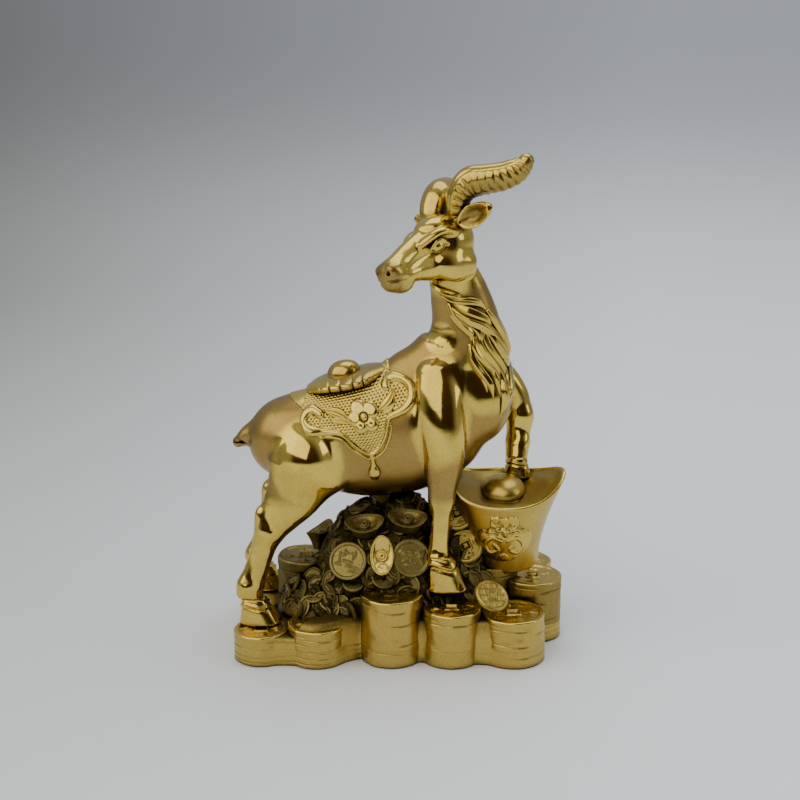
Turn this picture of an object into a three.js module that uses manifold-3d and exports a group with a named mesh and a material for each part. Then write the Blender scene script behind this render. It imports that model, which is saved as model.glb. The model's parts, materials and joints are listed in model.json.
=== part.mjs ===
// A goat statuette in cast brass: the goat looks back over its right flank, stands on a pile of
// coin stacks and rests its left fore hoof on a boat-shaped ingot. Millimetres, +Z up, +X towards
// the goat's breast, -Y the goat's right flank. The origin is the middle of the underside.
//
// Each casting is its own closed solid. A casting that meets an earlier one is cut back by it and
// keeps the braze gap, so a change of one size never makes two castings overlap.
import * as THREE from 'three';
import { mergeVertices } from 'three/addons/utils/BufferGeometryUtils.js';
import Module from 'manifold-3d';

const wasm = await Module();
wasm.setup();

// ---- Driving dimensions -------------------------------------------------------------------

const LENGTH = 101.5;        // breast-to-tail length of the whole statuette
const DEPTH = 59.1;          // front-to-back depth of the base
const HEIGHT = 150;          // underside to horn tip
const BRAZE_GAP = 0.3;       // between neighbouring castings

const PLINTH_HEIGHT = 6.1;  // slab under the coin stacks
const PLINTH_LIP = 0.5;      // how far the slab stands out past the stacks
const STACK_EDGE = 0.7;      // rounding of a stack's upper rim
const STACK_GROOVE = 0.5;    // depth of the groove between two coins of a stack
const COIN_PITCH = 4.6;      // height of one groove-to-groove layer

const COIN_RADIUS = 5.4;     // loose coins on the pile
const COIN_THICKNESS = 1.5;

const NUGGET_LENGTH = 12;    // small boat-shaped ingots on the pile
const NUGGET_WIDTH = 7;
const NUGGET_HEIGHT = 5;

const INGOT_LENGTH = 38;     // large ingot, tip to tip
const INGOT_WIDTH = 25;
const INGOT_HEIGHT = 25.2;    // foot to the middle of the rim
const INGOT_TIP_RISE = 6;    // how much higher the two tips stand
const INGOT_DISH = 1.1;      // depth of the dish inside the rim
const INGOT_TILT = -13;      // degrees, leaning towards the goat's right
const DOME_RADIUS = 7.1;
const DOME_RISE = 5.1;        // top of the dome above the bottom of the dish
const EMBLEM_RADIUS = 7.2;
const EMBLEM_THICKNESS = 1.2;

const BLANKET_THICKNESS = 1.1;
const KNOB_RADIUS = 4.4;
const BLOSSOM_RADIUS = 5;
const BLOSSOM_THICKNESS = 1.6;
const PENDANT_RADIUS = 1.9;

// The sculpture is laid out on a grid 103 long and 60 deep, from `foot` under its zero to 150 above
// it, which the overall sizes stretch.
const GRID = { length: 103, depth: 60, foot: 2.2, top: 150 };
const SX = LENGTH / GRID.length;
const SY = DEPTH / GRID.depth;
const SZ = HEIGHT / (GRID.foot + GRID.top);
const level = (z) => (z + GRID.foot) * SZ;
const place = (x, y, z) => new THREE.Vector3(x * SX, y * SY, level(z));

// ---- Materials ----------------------------------------------------------------------------

const polishedBrass = { color: 0xd0a94a, roughness: 0.12, metalness: 1 };
const satinBrass = { color: 0xb8963f, roughness: 0.3, metalness: 1 };
const agedBrass = { color: 0x8a7434, roughness: 0.42, metalness: 1 };

// ---- Solids -------------------------------------------------------------------------------

function solid(geometry) {
  const bare = geometry.index ? geometry.toNonIndexed() : geometry.clone();
  bare.deleteAttribute('normal');
  bare.deleteAttribute('uv');
  const merged = mergeVertices(bare, 1e-4);
  return new wasm.Manifold(new wasm.Mesh({
    numProp: 3,
    vertProperties: merged.attributes.position.array,
    triVerts: new Uint32Array(merged.index.array),
  }));
}

function geometryOf(manifold) {
  const mesh = manifold.getMesh();
  const points = new Float32Array(mesh.numVert * 3);
  for (let i = 0; i < mesh.numVert; i++) {
    points.set(mesh.vertProperties.subarray(i * mesh.numProp, i * mesh.numProp + 3), i * 3);
  }
  const geometry = new THREE.BufferGeometry();
  geometry.setAttribute('position', new THREE.BufferAttribute(points, 3));
  geometry.setIndex(new THREE.BufferAttribute(new Uint32Array(mesh.triVerts), 1));
  geometry.computeVertexNormals();
  return geometry;
}

// The largest closed body of a cut solid: a cut can leave a loose sliver behind.
function mainBody(manifold) {
  const bodies = manifold.decompose();
  return bodies.reduce((best, body) => (body.volume() > best.volume() ? body : best));
}

const goat = new THREE.Group();
const placed = [];

// Adds one casting. make(grow) returns its solid, grown by that many millimetres; the casting is
// cut back by the grown solids of all castings before it, except those named in `leave`.
function cast(name, finish, make, leave = []) {
  let body = make(0);
  for (const other of placed) {
    if (!leave.includes(other.name)) body = body.subtract(other.grown);
  }
  const mesh = new THREE.Mesh(geometryOf(mainBody(body)), new THREE.MeshStandardMaterial(finish));
  mesh.name = name;
  goat.add(mesh);
  placed.push({ name, grown: make(BRAZE_GAP) });
}

// A smooth value between the stations of a limb: Catmull-Rom on one number.
function between(values, t) {
  const last = values.length - 1;
  const s = t * last;
  const i = Math.min(Math.floor(s), last - 1);
  const [a, b, c, d] = [values[Math.max(i - 1, 0)], values[i], values[i + 1], values[Math.min(i + 2, last)]];
  const f = s - i;
  return b + 0.5 * f * (c - a + f * (2 * a - 5 * b + 4 * c - d + f * (3 * (b - c) + d - a)));
}

// A limb: elliptical sections carried along a smooth line, with a rounded cap at each end.
// A station is [x, y, z, half width along `side`, half height across it].
function limb(stations, { side = [0, 1, 0], around = 14, along = 11, grow = 0 } = {}) {
  const CAP_ROWS = 2;
  const line = new THREE.CatmullRomCurve3(stations.map(([x, y, z]) => place(x, y, z)), false, 'centripetal');
  const sideAxis = new THREE.Vector3(...side);
  const rows = along + 2 * CAP_ROWS;
  const geometry = new THREE.SphereGeometry(1, around, rows).toNonIndexed();
  const position = geometry.attributes.position;
  const first = stations[0];
  const last = stations[stations.length - 1];
  const section = (row) => {
    const inner = THREE.MathUtils.clamp((row - CAP_ROWS) / along, 0, 1);
    const cap = row < CAP_ROWS ? 1 - row / CAP_ROWS : Math.max(0, (row - CAP_ROWS - along) / CAP_ROWS);
    const end = row < CAP_ROWS ? first : last;
    const reach = Math.min(end[3], end[4]) + grow;
    const tangent = line.getTangent(inner);
    const shift = Math.sin(cap * Math.PI / 2) * reach * (row < CAP_ROWS ? -1 : 1);
    const across = sideAxis.clone().addScaledVector(tangent, -sideAxis.dot(tangent)).normalize();
    return {
      centre: line.getPoint(inner).addScaledVector(tangent, shift),
      across,
      upright: new THREE.Vector3().crossVectors(tangent, across),
      shrink: Math.cos(cap * Math.PI / 2),
      half: between(stations.map((s) => s[3]), inner) + grow,
      tall: between(stations.map((s) => s[4]), inner) + grow,
    };
  };
  for (let i = 0; i < position.count; i++) {
    const v = new THREE.Vector3().fromBufferAttribute(position, i).normalize();
    const row = Math.round(Math.acos(THREE.MathUtils.clamp(v.y, -1, 1)) / Math.PI * rows);
    const turn = Math.round(Math.atan2(v.z, v.x) / (2 * Math.PI) * around) * 2 * Math.PI / around;
    const s = section(row);
    v.copy(s.centre);
    if (row > 0 && row < rows) {
      v.addScaledVector(s.across, s.half * s.shrink * Math.cos(turn));
      v.addScaledVector(s.upright, s.tall * s.shrink * Math.sin(turn));
    }
    position.setXYZ(i, v.x, v.y, v.z);
  }
  const made = solid(geometry);
  return made.volume() > 0 ? made : solid(turnedOver(geometry));
}

function turnedOver(geometry) {
  const position = geometry.attributes.position;
  const flipped = geometry.clone();
  for (let i = 0; i < position.count; i += 3) {
    for (let k = 0; k < 3; k++) {
      flipped.attributes.position.setXYZ(i + k, position.getX(i + 2 - k), position.getY(i + 2 - k), position.getZ(i + 2 - k));
    }
  }
  return flipped;
}

// A round solid from its outline: [radius, height] pairs from the lower to the upper middle.
function turned(profile, centre, segments = 16) {
  const geometry = new THREE.LatheGeometry(profile.map(([r, h]) => new THREE.Vector2(r, h)), segments);
  return solid(geometry.rotateX(Math.PI / 2).translate(centre.x, centre.y, centre.z));
}

// An outline in the XZ plane, carried through the whole depth from `from` to `to` along Y.
function through(shape, from, to, curveSegments = 8) {
  const geometry = new THREE.ExtrudeGeometry(shape, { depth: to - from, bevelEnabled: false, curveSegments });
  return solid(geometry.rotateX(Math.PI / 2).translate(0, to, 0));
}

function turnedTo(geometry, [rx, ry, rz], centre) {
  const rotation = new THREE.Euler(...[rx, ry, rz].map(THREE.MathUtils.degToRad));
  const matrix = new THREE.Matrix4().makeRotationFromEuler(rotation).setPosition(centre);
  return geometry.applyMatrix4(matrix);
}

// ---- Base: plinth and coin stacks ---------------------------------------------------------

// [name, x, y, radius, height of the top]. The two hind and the right fore hoof stand on three.
const STACKS = [
  ['coin_stack_right_hind', -42.3, -19.2, 8.3, 7.4],
  ['coin_stack_front_left', -25.2, -20.2, 8.9, 9.6],
  ['coin_stack_front_middle', -2.6, -19.5, 9.3, 19],
  ['coin_stack_right_fore', 15.6, -20.4, 8.8, 14.8],
  ['coin_stack_front_right', 34.4, -19.5, 9.6, 12.8],
  ['coin_stack_right_end', 41.6, -0.6, 9.1, 17.4],
  ['coin_stack_right_rear', 40.5, 17.5, 8.9, 15.5],
  ['coin_stack_left_middle', -30, 4, 8.6, 22.5],
  ['coin_stack_left_hind', -42.3, 19.5, 8.4, 7.4],
  ['coin_stack_rear_left', -23.5, 20.4, 8.7, 13],
  ['coin_stack_rear_middle', -4.6, 19.8, 9.4, 17],
  ['coin_stack_rear_right', 15.4, 20.3, 8.7, 14],
  ['ingot_pedestal', 27, 3, 10.6, 21.6],
];
const stackOf = (name) => STACKS.find((stack) => stack[0] === name);
const topOf = (name) => stackOf(name)[4];

function stackSolid([, x, y, radius, top], grow) {
  const bottom = PLINTH_HEIGHT;
  const height = level(top);
  const layers = Math.max(1, Math.round((height - bottom) / COIN_PITCH));
  const pitch = (height - bottom) / layers;
  const outside = radius + grow;
  const profile = [[0, bottom], [outside, bottom]];
  for (let i = 1; i < layers; i++) {
    const z = bottom + i * pitch;
    profile.push([outside, z - STACK_GROOVE], [outside - STACK_GROOVE, z], [outside, z + STACK_GROOVE]);
  }
  profile.push([outside, height - STACK_EDGE], [outside - STACK_EDGE, height], [0, height]);
  return turned(profile, new THREE.Vector3(x * SX, y * SY, 0));
}

// The slab is the shared foot of all stacks: their outlines, widened by the lip and joined.
function plinthSolid(grow) {
  const MIDDLE = { x: 84, y: 40 };
  const discs = STACKS.map(([, x, y, radius]) => {
    const outside = radius + PLINTH_LIP + grow;
    const profile = [[0, 0], [outside, 0], [outside, PLINTH_HEIGHT], [0, PLINTH_HEIGHT]];
    return turned(profile, new THREE.Vector3(x * SX, y * SY, 0), 16);
  });
  const middle = new THREE.BoxGeometry(MIDDLE.x * SX, MIDDLE.y * SY, PLINTH_HEIGHT);
  return discs.reduce((all, disc) => all.add(disc), solid(middle.translate(0, 0, PLINTH_HEIGHT / 2)));
}

// ---- Large ingot --------------------------------------------------------------------------

const INGOT_FOOT = place(31.8, 2.5, 21.9);
const INGOT_ROWS = 5;

// Boat-shaped hull: ellipses that widen from the foot to a rim whose two ends rise to tips.
function boat({ length, width, height, tipRise, dish, grow = 0 }, around = 24) {
  const geometry = new THREE.SphereGeometry(1, around, INGOT_ROWS * 2).toNonIndexed();
  const position = geometry.attributes.position;
  const dishDepth = Math.max(dish - grow, 0);
  for (let i = 0; i < position.count; i++) {
    const v = new THREE.Vector3().fromBufferAttribute(position, i);
    const row = Math.round(Math.acos(THREE.MathUtils.clamp(v.y, -1, 1)) / Math.PI * INGOT_ROWS * 2);
    const turn = Math.atan2(v.z, v.x);
    const outer = THREE.MathUtils.clamp((row - 1) / (INGOT_ROWS + 2), 0, 1);
    const inner = Math.max(0, (row - INGOT_ROWS - 3) / (INGOT_ROWS - 3));
    const spread = row === 0 || row === INGOT_ROWS * 2 ? 0 : (0.62 + 0.38 * outer * outer) * (1 - inner * 0.9);
    const x = (length / 2 + grow) * spread * Math.cos(turn);
    const y = (width / 2 + grow) * (0.72 + 0.28 * outer) * (spread > 0 ? spread / (0.62 + 0.38 * outer * outer) : 0) * Math.sin(turn);
    const rise = tipRise * outer * outer * Math.pow(Math.abs(Math.cos(turn)), 3) * (1 - inner);
    const z = -grow + (height + 2 * grow) * outer + rise - dishDepth * Math.sin(inner * Math.PI / 2);
    position.setXYZ(i, x, y, z);
  }
  const made = solid(geometry);
  return made.volume() > 0 ? made : solid(turnedOver(geometry));
}

function tilted(manifold, degrees, centre) {
  const matrix = new THREE.Matrix4().makeRotationX(THREE.MathUtils.degToRad(-degrees)).setPosition(centre);
  return manifold.transform(matrix.elements);
}

const ingotHull = (grow) => tilted(boat({
  length: INGOT_LENGTH, width: INGOT_WIDTH, height: INGOT_HEIGHT, tipRise: INGOT_TIP_RISE, dish: INGOT_DISH, grow,
}), INGOT_TILT, INGOT_FOOT);

// The dome that stands in the dish, and the round emblem on the hull's right side.
const DISH_FLOOR = INGOT_HEIGHT - INGOT_DISH;
const ingotDome = (grow) => tilted(
  solid(new THREE.SphereGeometry(1, 18, 10).scale(DOME_RADIUS + grow, DOME_RADIUS + grow, DOME_RISE + grow)
    .translate(0, 0, DISH_FLOOR)),
  INGOT_TILT, INGOT_FOOT);

const ingotEmblem = (grow) => tilted(
  solid(new THREE.CylinderGeometry(EMBLEM_RADIUS + grow, EMBLEM_RADIUS + grow, 2 * EMBLEM_THICKNESS + 2 * grow, 18)
    .rotateX(0.18).translate(0, -INGOT_WIDTH / 2 + EMBLEM_THICKNESS, INGOT_HEIGHT * 0.51)),
  INGOT_TILT, INGOT_FOOT);

// ---- Goat ---------------------------------------------------------------------------------

// Stations of each limb on the grid: [x, y, z, half width, half height].
const TORSO = [
  [-37, 0, 60.8, 10, 10], [-31, 0, 61.4, 13.2, 14], [-22, 0, 61.6, 14.6, 16.8], [-9, 0, 62.5, 15.5, 19.3],
  [4, 0, 66, 15.5, 21], [15, 0, 71, 14, 18.5], [24, 0, 74.5, 10.5, 11.5],
];
const NECK = [
  [17, 0, 74, 12.5, 14.5], [18.3, 0, 84, 12.5, 15], [19.3, 0, 92, 11, 13.2], [19.2, -0.5, 99, 9.3, 10.3],
  [17.6, -1.5, 108, 7.8, 8.5], [15.6, -2.5, 116, 7, 7], [14.2, -3.5, 122, 6, 6],
];
const TAIL = [[-41, 0, 65, 3.6, 4.2], [-46, 0, 63, 3.2, 3.4], [-49.7, 0, 60.8, 2, 1.8]];

// The head looks back over the right flank: turned from -X towards -Y, and a little downwards.
const HEAD_CENTRE = [11.8, -7.2, 122.6];
const HEAD_YAW = THREE.MathUtils.degToRad(42);
const HEAD_PITCH = THREE.MathUtils.degToRad(10.5);
const HEAD_ROLL = THREE.MathUtils.degToRad(12);
const headForward = new THREE.Vector3(
  -Math.cos(HEAD_YAW) * Math.cos(HEAD_PITCH), -Math.sin(HEAD_YAW) * Math.cos(HEAD_PITCH), -Math.sin(HEAD_PITCH));
const levelLeft = new THREE.Vector3(Math.sin(HEAD_YAW), -Math.cos(HEAD_YAW), 0);
const headUp = new THREE.Vector3().crossVectors(headForward, levelLeft)
  .applyAxisAngle(headForward, HEAD_ROLL);
const headLeft = levelLeft.clone().applyAxisAngle(headForward, HEAD_ROLL);

// A point given forward, left and up of the head's centre, on the grid.
const onHead = (forward, left, up) => new THREE.Vector3(...HEAD_CENTRE)
  .addScaledVector(headForward, forward).addScaledVector(headLeft, left).addScaledVector(headUp, up).toArray();

// [forward, up, half width, half height] along the head, from the back of the skull to the lips.
const HEAD = [
  [-8, 0.4, 4.6, 5.4], [-4, -0.2, 6.8, 8.2], [0, -0.8, 7, 9], [5, -0.8, 6.2, 7.8],
  [10, -1.2, 4.7, 6], [14, -1.8, 4, 5], [18, -2.8, 4.2, 5], [21.4, -3.2, 4, 4.4],
].map(([forward, up, half, tall]) => [...onHead(forward, 0, up), half, tall]);

const HORN_LEFT = [
  [16.6, -5, 130, 3.2, 3.1], [17.5, -6, 136.6, 3.8, 3.9], [20.4, -7.2, 141, 4.2, 4.6], [24.8, -8.6, 142.3, 4.2, 4.4],
  [29.3, -9.5, 143.2, 3.8, 4], [33.2, -10, 144.8, 3.2, 3.3], [36, -10, 147.3, 2.4, 2.5],
];
const HORN_RIGHT = [
  [9.8, 0, 129, 3.6, 3.8], [10.2, 1.6, 133, 4.4, 4.3], [11.6, 4.4, 135.6, 4.7, 4.7], [13.6, 9.4, 136.2, 4.6, 4.6],
  [15.4, 15, 135.2, 4.2, 4], [17, 19.6, 133.8, 3.7, 3.4], [18.6, 23.8, 135.2, 2.6, 2.5],
];
const EAR_LEFT = [[16.8, -8.6, 129.2, 1.8, 2.4], [21, -10.4, 132, 1.8, 3.4], [25.4, -12.2, 134.8, 0.9, 1.4]];
const EAR_RIGHT = [[8.2, 3.4, 128.6, 1.6, 1.9], [6, 6, 129.7, 1.6, 2.1], [4, 8.2, 130.5, 0.8, 1]];

// A leg runs from the body down to the hoof. Heights are shares of the way up from the ground that
// its hoof stands on to the shoulder or hip, so a leg reaches its stack whatever the stack's height.
function leg(ground, hip, rows) {
  return rows.map(([x, y, share, half, tall]) => [x, y, ground + share * (hip - ground), half, tall]);
}
const FORE_LIFT = 3.6;        // the heap lifts the right fore hoof this much over its stack
const RIGHT_FORE_GROUND = topOf('coin_stack_right_fore') + FORE_LIFT;
const RIGHT_HIND_GROUND = topOf('coin_stack_right_hind');
const LEFT_HIND_GROUND = topOf('coin_stack_left_hind');
// The raised hoof stands in the tilted dish, behind the dome, and is let in by HOOF_SINK.
const HOOF_SINK = 0.6;
const LEFT_FORE_FOOT = { x: 36.4, y: 5.6 };
const DISH_CENTRE = new THREE.Vector3(0, 0, DISH_FLOOR)
  .applyAxisAngle(new THREE.Vector3(1, 0, 0), THREE.MathUtils.degToRad(-INGOT_TILT)).add(INGOT_FOOT);
const DISH_SLOPE = Math.tan(THREE.MathUtils.degToRad(-INGOT_TILT));
const DISH_UNDER_HOOF = DISH_CENTRE.z + DISH_SLOPE * (LEFT_FORE_FOOT.y * SY - DISH_CENTRE.y);
const LEFT_FORE_GROUND = (DISH_UNDER_HOOF - HOOF_SINK) / SZ - GRID.foot;
const SHOULDER = 82;
const HIP = 63;

const FORELEG_RIGHT = leg(RIGHT_FORE_GROUND, SHOULDER, [
  [12, -9.5, 1, 4.6, 6.6], [12.5, -11.5, 0.88, 5.4, 7.8], [12.8, -12.4, 0.765, 5.2, 6.8], [13.3, -12.8, 0.645, 4.5, 5.7],
  [12.9, -13, 0.525, 3.7, 4.2], [12.4, -13, 0.435, 3.4, 3.6], [11.9, -13.2, 0.33, 3, 3.1],
  [11.7, -13.5, 0.23, 3.2, 3.4], [12, -13.8, 0.155, 3.3, 3.5],
]);
// The raised leg is measured from the top of its hoof, which stands on the dome.
const LEFT_FORE_HOOF = 6;
const LEFT_FORE_CORONET = LEFT_FORE_GROUND + LEFT_FORE_HOOF / SZ;
const FORELEG_LEFT = leg(LEFT_FORE_CORONET, SHOULDER, [
  [23, 8.5, 1, 4.6, 6], [31, 10.6, 0.914, 4.4, 5.2], [36, 11.4, 0.717, 4.1, 4.4], [37.3, 10.6, 0.47, 3.9, 4.2],
  [37.1, 8.9, 0.26, 3.4, 3.7], [36.7, 7, 0.07, 3.3, 3.5],
]);
const hindleg = (ground, flip) => leg(ground, HIP, [
  [-30, 9, 1, 5.6, 11], [-30.5, 10.3, 0.87, 6.2, 12.4], [-32, 11.3, 0.745, 5.8, 9.6], [-35, 12, 0.625, 4.7, 6.6],
  [-38.9, 12.3, 0.51, 3.8, 4.7], [-41.2, 12.6, 0.41, 3.2, 3.5], [-43.2, 13, 0.305, 3, 3.2], [-44.9, 13.4, 0.195, 3.3, 3.8],
  [-45.2, 13.8, 0.13, 3.1, 3.2],
]).map(([x, y, ...rest]) => [x, flip * y, ...rest]);
const HINDLEG_RIGHT = hindleg(RIGHT_HIND_GROUND, -1);
const HINDLEG_LEFT = hindleg(LEFT_HIND_GROUND, 1);

// A cloven hoof: a wedge that widens downwards and forwards, with a flat sole.
function hoof({ x, y, ground, heel, toe, half, height }, grow) {
  const TOP_SHARE = 0.58;
  const shape = new THREE.Shape([
    new THREE.Vector2(heel - grow, 0), new THREE.Vector2(toe + grow, 0),
    new THREE.Vector2(toe + grow, height * 0.22), new THREE.Vector2(heel + (toe - heel) * TOP_SHARE + grow, height + grow),
    new THREE.Vector2(heel - grow, height + grow),
  ]);
  const width = 2 * (half + grow);
  const wedge = new THREE.ExtrudeGeometry(shape, { depth: width, bevelEnabled: false });
  const centre = place(x, y, ground);
  return solid(wedge.rotateX(Math.PI / 2).translate(centre.x, centre.y + width / 2, centre.z));
}
const HOOVES = {
  hoof_right_fore: { x: 12, y: -14.2, ground: RIGHT_FORE_GROUND, heel: -4.6, toe: 8.8, half: 4.9, height: 9.6 },
  hoof_left_fore: { ...LEFT_FORE_FOOT, ground: LEFT_FORE_GROUND, heel: -4.4, toe: 5.4, half: 4.2, height: LEFT_FORE_HOOF },
  hoof_right_hind: { x: -45, y: -14.3, ground: RIGHT_HIND_GROUND, heel: -4.4, toe: 8.8, half: 4.8, height: 7.6 },
  hoof_left_hind: { x: -45, y: 14.3, ground: LEFT_HIND_GROUND, heel: -4.4, toe: 8.8, half: 4.8, height: 7.6 },
};

// Hair that hangs from the throat and winds down the neck's right side to the breast.
const THROAT_HAIR = [
  [9, -9, 108.5, 3.2, 2.6], [15, -10, 104, 4.6, 3.4], [22, -10.2, 98, 5, 4.4], [27.4, -8, 91, 5, 5],
  [30, -4, 83.5, 4.2, 5.4], [30.2, -1.5, 76.5, 3.4, 4.6], [29.4, 0, 70.5, 2.4, 3],
];

// The neck is cast apart from the torso: the seam is a slanted plane at the withers.
const SEAM_POINT = [16, 0, 86];
const SEAM_TILT = THREE.MathUtils.degToRad(38);
function aboveSeam(grow) {
  const SLAB = 120;
  const slab = new THREE.BoxGeometry(SLAB, SLAB, SLAB).translate(0, 0, SLAB / 2 + grow);
  return solid(slab.rotateY(SEAM_TILT).translate(...place(...SEAM_POINT).toArray()));
}
const torsoLimb = (grow) => limb(TORSO, { around: 20, along: 12, grow });
const neckLimb = (grow) => limb(NECK, { around: 18, along: 10, grow });
const torsoAndNeck = (grow) => torsoLimb(grow).add(neckLimb(grow));

// ---- Saddle -------------------------------------------------------------------------------

// A layer on the torso, from `inner` to `outer` millimetres outside its skin.
const layer = (inner, outer) => torsoLimb(outer).subtract(torsoLimb(inner));
const BLANKET_INNER = BRAZE_GAP;
const BLANKET_OUTER = BLANKET_INNER + BLANKET_THICKNESS;

// Side outline of the saddle cloth: a lobe at each end and a pointed middle.
function blanketOutline(grow) {
  const shape = new THREE.Shape();
  const p = (x, z) => [x * SX, level(z)];
  shape.moveTo(...p(-34.6 - grow, 92));
  shape.lineTo(...p(-34.6 - grow, 77.5 - grow));
  shape.lineTo(...p(-29.8 - grow, 75.4 - grow));
  shape.bezierCurveTo(...p(-30.4 - grow, 68.5 - grow), ...p(-28 - grow, 66.6 - grow), ...p(-23, 66.2 - grow));
  shape.lineTo(...p(-18.5 - grow, 66 - grow));
  shape.quadraticCurveTo(...p(-16.5 - grow, 65.4 - grow), ...p(-14.8 - grow, 62.6 - grow));
  shape.lineTo(...p(-8.3, 59.2 - grow));
  shape.quadraticCurveTo(...p(-2.8 + grow, 62.5 - grow), ...p(-2.4 + grow, 71.5 - grow));
  shape.quadraticCurveTo(...p(4.4 + grow, 73 - grow), ...p(4.5 + grow, 80));
  shape.bezierCurveTo(...p(4.4 + grow, 85 + grow), ...p(-1 + grow, 86.5 + grow), ...p(-2.4 + grow, 92));
  return shape;
}
const acrossBody = (shape) => through(shape, -DEPTH, DEPTH);
const saddleBlanket = (grow) => layer(BLANKET_INNER - grow, BLANKET_OUTER + grow)
  .intersect(acrossBody(blanketOutline(grow)));

// The padded seat: a flat lens that follows the rise of the back.
const SEAT = [
  [-28, 0, 77.2, 4, 1.5], [-24, 0, 78.9, 7.8, 2.1], [-19, 0, 80.1, 10, 2.5], [-13, 0, 81.4, 10.4, 2.6],
  [-8.5, 0, 82.7, 8.4, 2.4], [-5, 0, 83.8, 5.2, 1.9],
];
const saddleSeat = (grow) => limb(SEAT, { around: 16, along: 9, grow });
const KNOB_CENTRE = place(-17, 0, 82.6);
const saddleKnob = (grow) => solid(new THREE.SphereGeometry(KNOB_RADIUS + grow, 16, 10)
  .scale(1.15, 1, 1).translate(...KNOB_CENTRE.toArray()));

// Relief on the cloth: a five-petalled blossom and a pendant on each flank.
const BLOSSOM_CENTRE = [-10.6, 72.1];
const PETALS = 5;
function blossomShape(grow) {
  const POINTS = 30;
  const points = [];
  for (let i = 0; i < POINTS; i++) {
    const turn = 2 * Math.PI * i / POINTS;
    const radius = (BLOSSOM_RADIUS + grow) * (0.88 + 0.12 * Math.cos(PETALS * turn));
    points.push(new THREE.Vector2(
      BLOSSOM_CENTRE[0] * SX + radius * Math.sin(turn), level(BLOSSOM_CENTRE[1]) + radius * Math.cos(turn)));
  }
  return new THREE.Shape(points);
}
function onFlank(shape, flank, inner, outer) {
  const half = flank < 0 ? through(shape, -DEPTH, 0) : through(shape, 0, DEPTH);
  return layer(inner, outer).intersect(half);
}
const blossom = (flank) => (grow) => onFlank(
  blossomShape(grow), flank, BLANKET_OUTER + BRAZE_GAP - grow, BLANKET_OUTER + BRAZE_GAP + BLOSSOM_THICKNESS + grow);

const PENDANT_TOP = 58.6;
const PENDANT_DROP = 7;
function pendantShape(grow) {
  const STEM = 0.8;
  const x = -7.5 * SX;
  const top = level(PENDANT_TOP);
  const low = top - PENDANT_DROP;
  const shape = new THREE.Shape();
  shape.moveTo(x - STEM - grow, top + grow);
  shape.lineTo(x - STEM - grow, low + PENDANT_RADIUS * 1.6);
  shape.quadraticCurveTo(x - 2 * PENDANT_RADIUS - grow, low, x, low - grow);
  shape.quadraticCurveTo(x + 2 * PENDANT_RADIUS + grow, low, x + STEM + grow, low + PENDANT_RADIUS * 1.6);
  shape.lineTo(x + STEM + grow, top + grow);
  return shape;
}
const pendant = (flank) => (grow) => onFlank(
  pendantShape(grow), flank, BLANKET_INNER - grow, BLANKET_OUTER + grow);

// ---- Loose coins and small ingots on the pile ---------------------------------------------

// [name, x, y, z, tilt about X, about Y, about Z] in degrees.
const COINS = [
  ['coin_front_left', -15.8, -14.8, 27.2, 60, -12, -20],
  ['coin_front_middle', 3.4, -15.6, 28.6, 64, 10, 12],
  ['coin_front_low', -20, -12.5, 14.4, 40, 0, -25],
  ['coin_beside_hoof', 27.6, -21.5, 18.6, 32, 22, 0],
  ['coin_behind_foreleg', 20.2, -9, 30, 70, 0, 25],
  ['coin_under_belly', 17.5, -7, 40, 74, 0, 20],
  ['coin_rear_left', -14, 15.5, 24, -56, 0, 16],
  ['coin_rear_middle', 3, 16, 29, -60, 0, -8],
  ['coin_rear_right', 15.6, 13.6, 24.5, -58, 0, -30],
];
function coinSolid([, x, y, z, ...turns], grow) {
  const SEGMENTS = 18;
  const outside = COIN_RADIUS + grow;
  const disc = new THREE.CylinderGeometry(outside, outside, COIN_THICKNESS + 2 * grow, SEGMENTS);
  return solid(turnedTo(disc.rotateX(Math.PI / 2), turns, place(x, y, z)));
}

const NUGGETS = [
  ['small_ingot_upright', -5.4, -17.2, 29.2, 62, 0, 90],
  ['small_ingot_belly_left', -10.8, -10.5, 35.2, 30, 0, 6],
  ['small_ingot_belly_right', 2.4, -11, 37, 30, 0, -6],
  ['small_ingot_left', -24.6, 6, 24.6, 0, -8, 60],
  ['small_ingot_rear', -5, 12.6, 34.6, -40, 0, 4],
];
function nuggetSolid([, x, y, z, ...turns], grow) {
  const hull = boat({
    length: NUGGET_LENGTH, width: NUGGET_WIDTH, height: NUGGET_HEIGHT, tipRise: 1.6, dish: 0.9, grow,
  }, 12);
  const rotation = new THREE.Euler(...turns.map(THREE.MathUtils.degToRad));
  return hull.transform(new THREE.Matrix4().makeRotationFromEuler(rotation).setPosition(place(x, y, z)).elements);
}

// The heap that carries the coins and fills the space under the belly.
const HEAP = [
  [-25, 0, 12, 13.2, 9.6], [-12, 0, 18, 16.2, 20.3], [1, 0, 21, 16.8, 22.3], [13, 0, 21, 15.7, 21.8], [20, 0, 19, 12.2, 15.2],
].map(([x, y, z, half, tall]) => [x, y, z, half * SY, tall * SZ]);

// ---- Assembly -----------------------------------------------------------------------------

cast('plinth', satinBrass, plinthSolid);
for (const stack of STACKS) cast(stack[0], satinBrass, (grow) => stackSolid(stack, grow), ['plinth']);

cast('large_ingot_hull', satinBrass, ingotHull);
cast('large_ingot_dome', satinBrass, ingotDome);
cast('large_ingot_emblem', agedBrass, ingotEmblem);

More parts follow.
